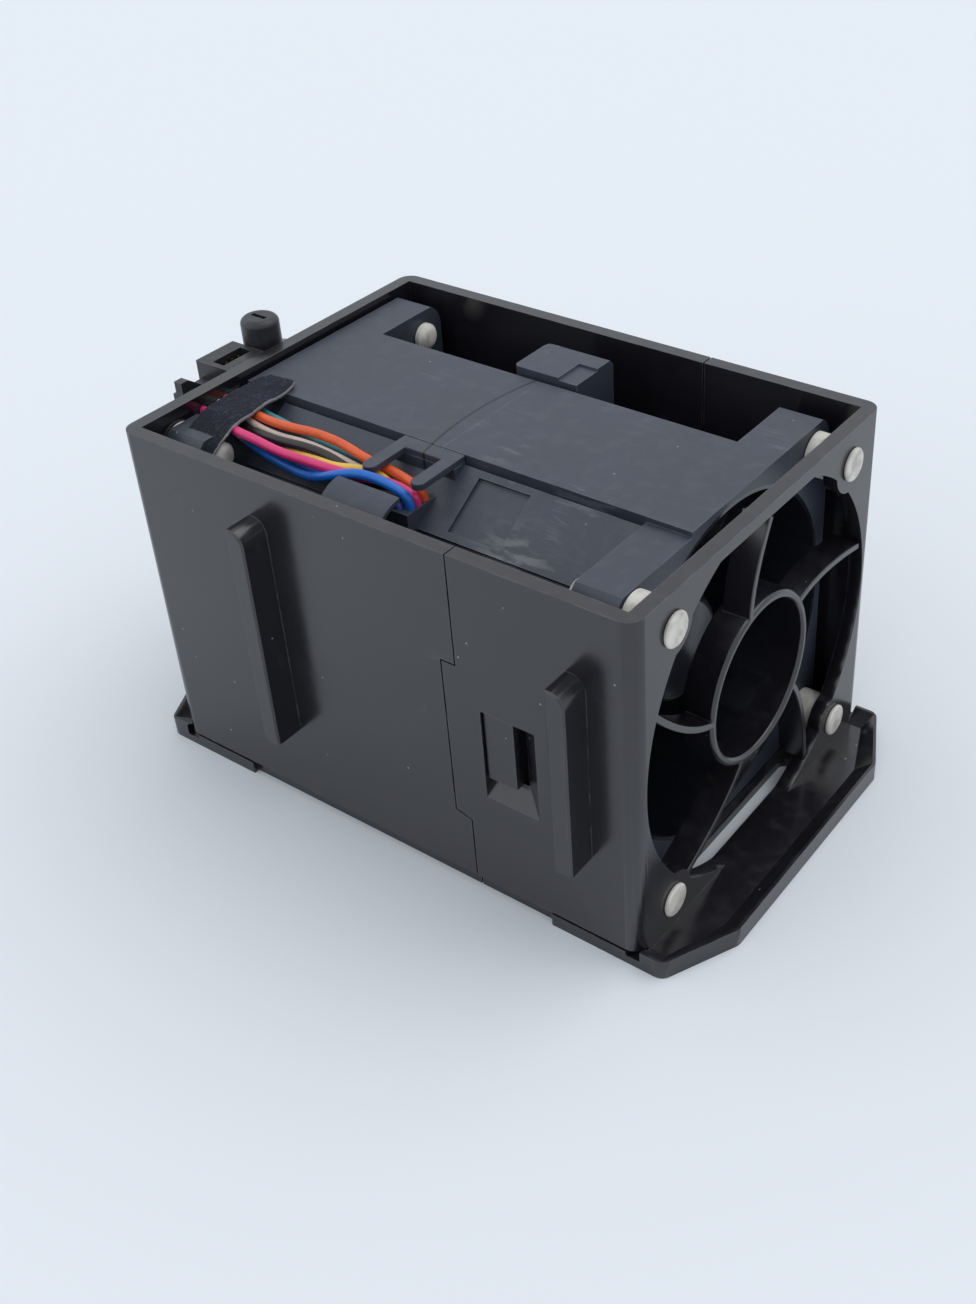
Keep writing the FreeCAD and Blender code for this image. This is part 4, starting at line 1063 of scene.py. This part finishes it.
def soften(piece):
    weld = piece.modifiers.new("join", "WELD")
    weld.merge_threshold = 1e-6
    flat = piece.modifiers.new("flatten", "DECIMATE")
    flat.decimate_type = "DISSOLVE"
    flat.angle_limit = math.radians(0.5)
    round_edges(piece, edge_width)


softened = [name for name in nodes if name.endswith(moulded)]
for name in softened:
    soften(nodes[name])
print("softened:", ", ".join(softened))

# %% [markdown]
# ## Cloth tape
# A strip of fleecy cloth tape lies over the wires and bends down the side of the rear fan, in soft
# sags, and its cut edges show the pale backing. A strip this small is quicker to lay out from
# given
# points than to simulate: a grid follows a drawn centre line and gets its sags and its nap from
# noise.

# %% The strip of tape
tape_thickness = 0.0006
tape_rows, tape_columns = 96, 26
lint_count, lint_seed, lint_lift = 90, 7, 0.00028
tape_path = [            # tenths of a millimetre: x, y, z and width; then the turn about z
    (-392, -72, 619, 50, 0.05), (-392, -90, 619, 68, 0.05), (-392, -120, 618, 72, 0.04),
    (-391, -148, 618, 73, 0.03), (-390, -180, 617, 74, 0.02), (-388, -212, 616, 74, 0.01),
    (-387, -240, 608, 74, 0.0), (-386, -268, 594, 74, 0.0), (-384, -292, 574, 74, 0.0),
    (-382, -308, 552, 74, 0.0), (-380, -312, 530, 73, 0.0), (-379, -312, 510, 72, 0.0)]
print("tape points:", len(tape_path))


def along_path(share):
    """Place, width and turn of the strip at a share of its length, on a smooth line."""
    spot = share * (len(tape_path) - 1)
    first = min(int(spot), len(tape_path) - 2)
    rest = spot - first
    rows = [tape_path[max(0, min(len(tape_path) - 1, first + step))] for step in (-1, 0, 1, 2)]
    mixed = []
    units = (route_units,) * 4 + (1,)
    for a, b, c, d, unit in zip(*rows, units):
        a, b, c, d = a / unit, b / unit, c / unit, d / unit
        mixed.append(0.5 * (2 * b + (c - a) * rest + (2 * a - 5 * b + 4 * c - d) * rest ** 2
                            + (3 * b - a - 3 * c + d) * rest ** 3))
    return Vector(mixed[:3]), mixed[3], mixed[4]


def tape_surface(share, side):
    """A place on the strip's upper face, and the way it faces. Side runs from -1 to 1."""
    middle, width, turn = along_path(share)
    after = along_path(min(1, share + 0.01))[0]
    before = along_path(max(0, share - 0.01))[0]
    onward = (after - before).normalized()
    across = Vector((math.cos(turn), math.sin(turn), 0))
    outward = onward.cross(across).normalized()
    ragged = 0.00012 * noise.noise(Vector((share * 60, 3.1 if side > 0 else 7.7, 0)))
    flat = middle + across * side * (width / 2 + ragged * abs(side) ** 6)
    sag = 0.00022 * noise.noise(flat * 230) + 0.00007 * noise.noise(flat * 900)
    nap = 0.00003 * noise.noise(flat * 3300)
    curl = 0.00018 * side ** 4 * (0.5 + noise.noise(Vector((share * 9, side * 2, 5))))
    return flat + outward * (sag + nap + curl), outward


def tape_rim(grid):
    """The corners round the edge of a grid, in order."""
    return ([row[0] for row in grid] + grid[-1][1:] + [row[-1] for row in grid[-2::-1]]
            + grid[0][-2:0:-1])


def build_tape():
    shell = bmesh.new()
    upper, lower = [], []
    for row in range(tape_rows + 1):
        high_row, low_row = [], []
        for column in range(tape_columns + 1):
            place, outward = tape_surface(row / tape_rows, 2 * column / tape_columns - 1)
            high_row.append(shell.verts.new(place))
            low_row.append(shell.verts.new(place - outward * tape_thickness))
        upper.append(high_row)
        lower.append(low_row)
    for r in range(tape_rows):
        for c in range(tape_columns):
            shell.faces.new((upper[r][c], upper[r][c + 1], upper[r + 1][c + 1], upper[r + 1][c]))
            shell.faces.new((lower[r][c], lower[r + 1][c], lower[r + 1][c + 1], lower[r][c + 1]))
    bridge(shell, [tape_rim(upper), tape_rim(lower)], ends="open", slot=1)
    add_lint(shell)
    return show("cloth_strip", smooth_mesh(shell, "cloth_strip"))


def add_lint(shell):
    """Short stray fibres, which stand out of the nap and catch the light."""
    picked = random.Random(lint_seed)
    for count in range(lint_count):
        share, side = picked.uniform(0.02, 0.98), picked.uniform(-0.97, 0.97)
        root, outward = tape_surface(share, side)
        way = Vector([picked.uniform(-1, 1) for axis in range(3)])
        way = (way - outward * way.dot(outward) * 0.7).normalized()
        length = picked.uniform(0.0004, 0.0012)
        thick = picked.uniform(0.000012, 0.000022)
        rings = []
        for step in range(4):
            t = step / 3
            spot = root + way * length * t + outward * lint_lift * math.sin(math.pi * t)
            spot += Vector((0, 0, 0.00006 * math.sin(5 * t + count)))
            sideways = way.cross(outward).normalized() * thick
            rings.append([shell.verts.new(spot + sideways), shell.verts.new(spot - sideways),
                          shell.verts.new(spot + outward * thick)])
        bridge(shell, rings, slot=2)


def cloth_finish(name, colour, pale, share_pale):
    material, tree = start_material(name)
    nap = object_noise(tree, 5200, detail=4)
    fluff = patches(tree, 900, 6, 0.50, 0.74)
    skin = blend(times(plus(nap, fluff), share_pale), colour, pale)
    height = plus(nap, times(fluff, 0.8))
    finish_shader(tree, skin, remap(nap, 0, 1, 0.98, 0.82), height, 0.00016, 1.0,
                  {"Specular IOR Level": 0.15, "Sheen Weight": 0.2, "Sheen Roughness": 0.5,
                   "Sheen Tint": paint(150, 158, 190)})
    return material


tape = build_tape()
for row in (("tape_fleece", paint(15, 16, 21), paint(70, 74, 88), 0.26),
            ("tape_edge", paint(120, 122, 128), paint(178, 178, 176), 0.6),
            ("tape_lint", paint(96, 100, 112), paint(150, 152, 160), 0.5)):
    tape.data.materials.append(cloth_finish(*row))
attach(tape, "carrier")
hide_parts("cloth_tape")
print("tape:", len(tape.data.polygons), "faces")

# %% [markdown]
# ## Finish
# The size of what is shown is printed here, as the size of the CAD model was at the start, so that
# the two can be compared. Nothing in this file may make the module larger.

# %% Print the shown size and end
low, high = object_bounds()
print("shown box in mm:", [round(side * 1000, 1) for side in high - low])
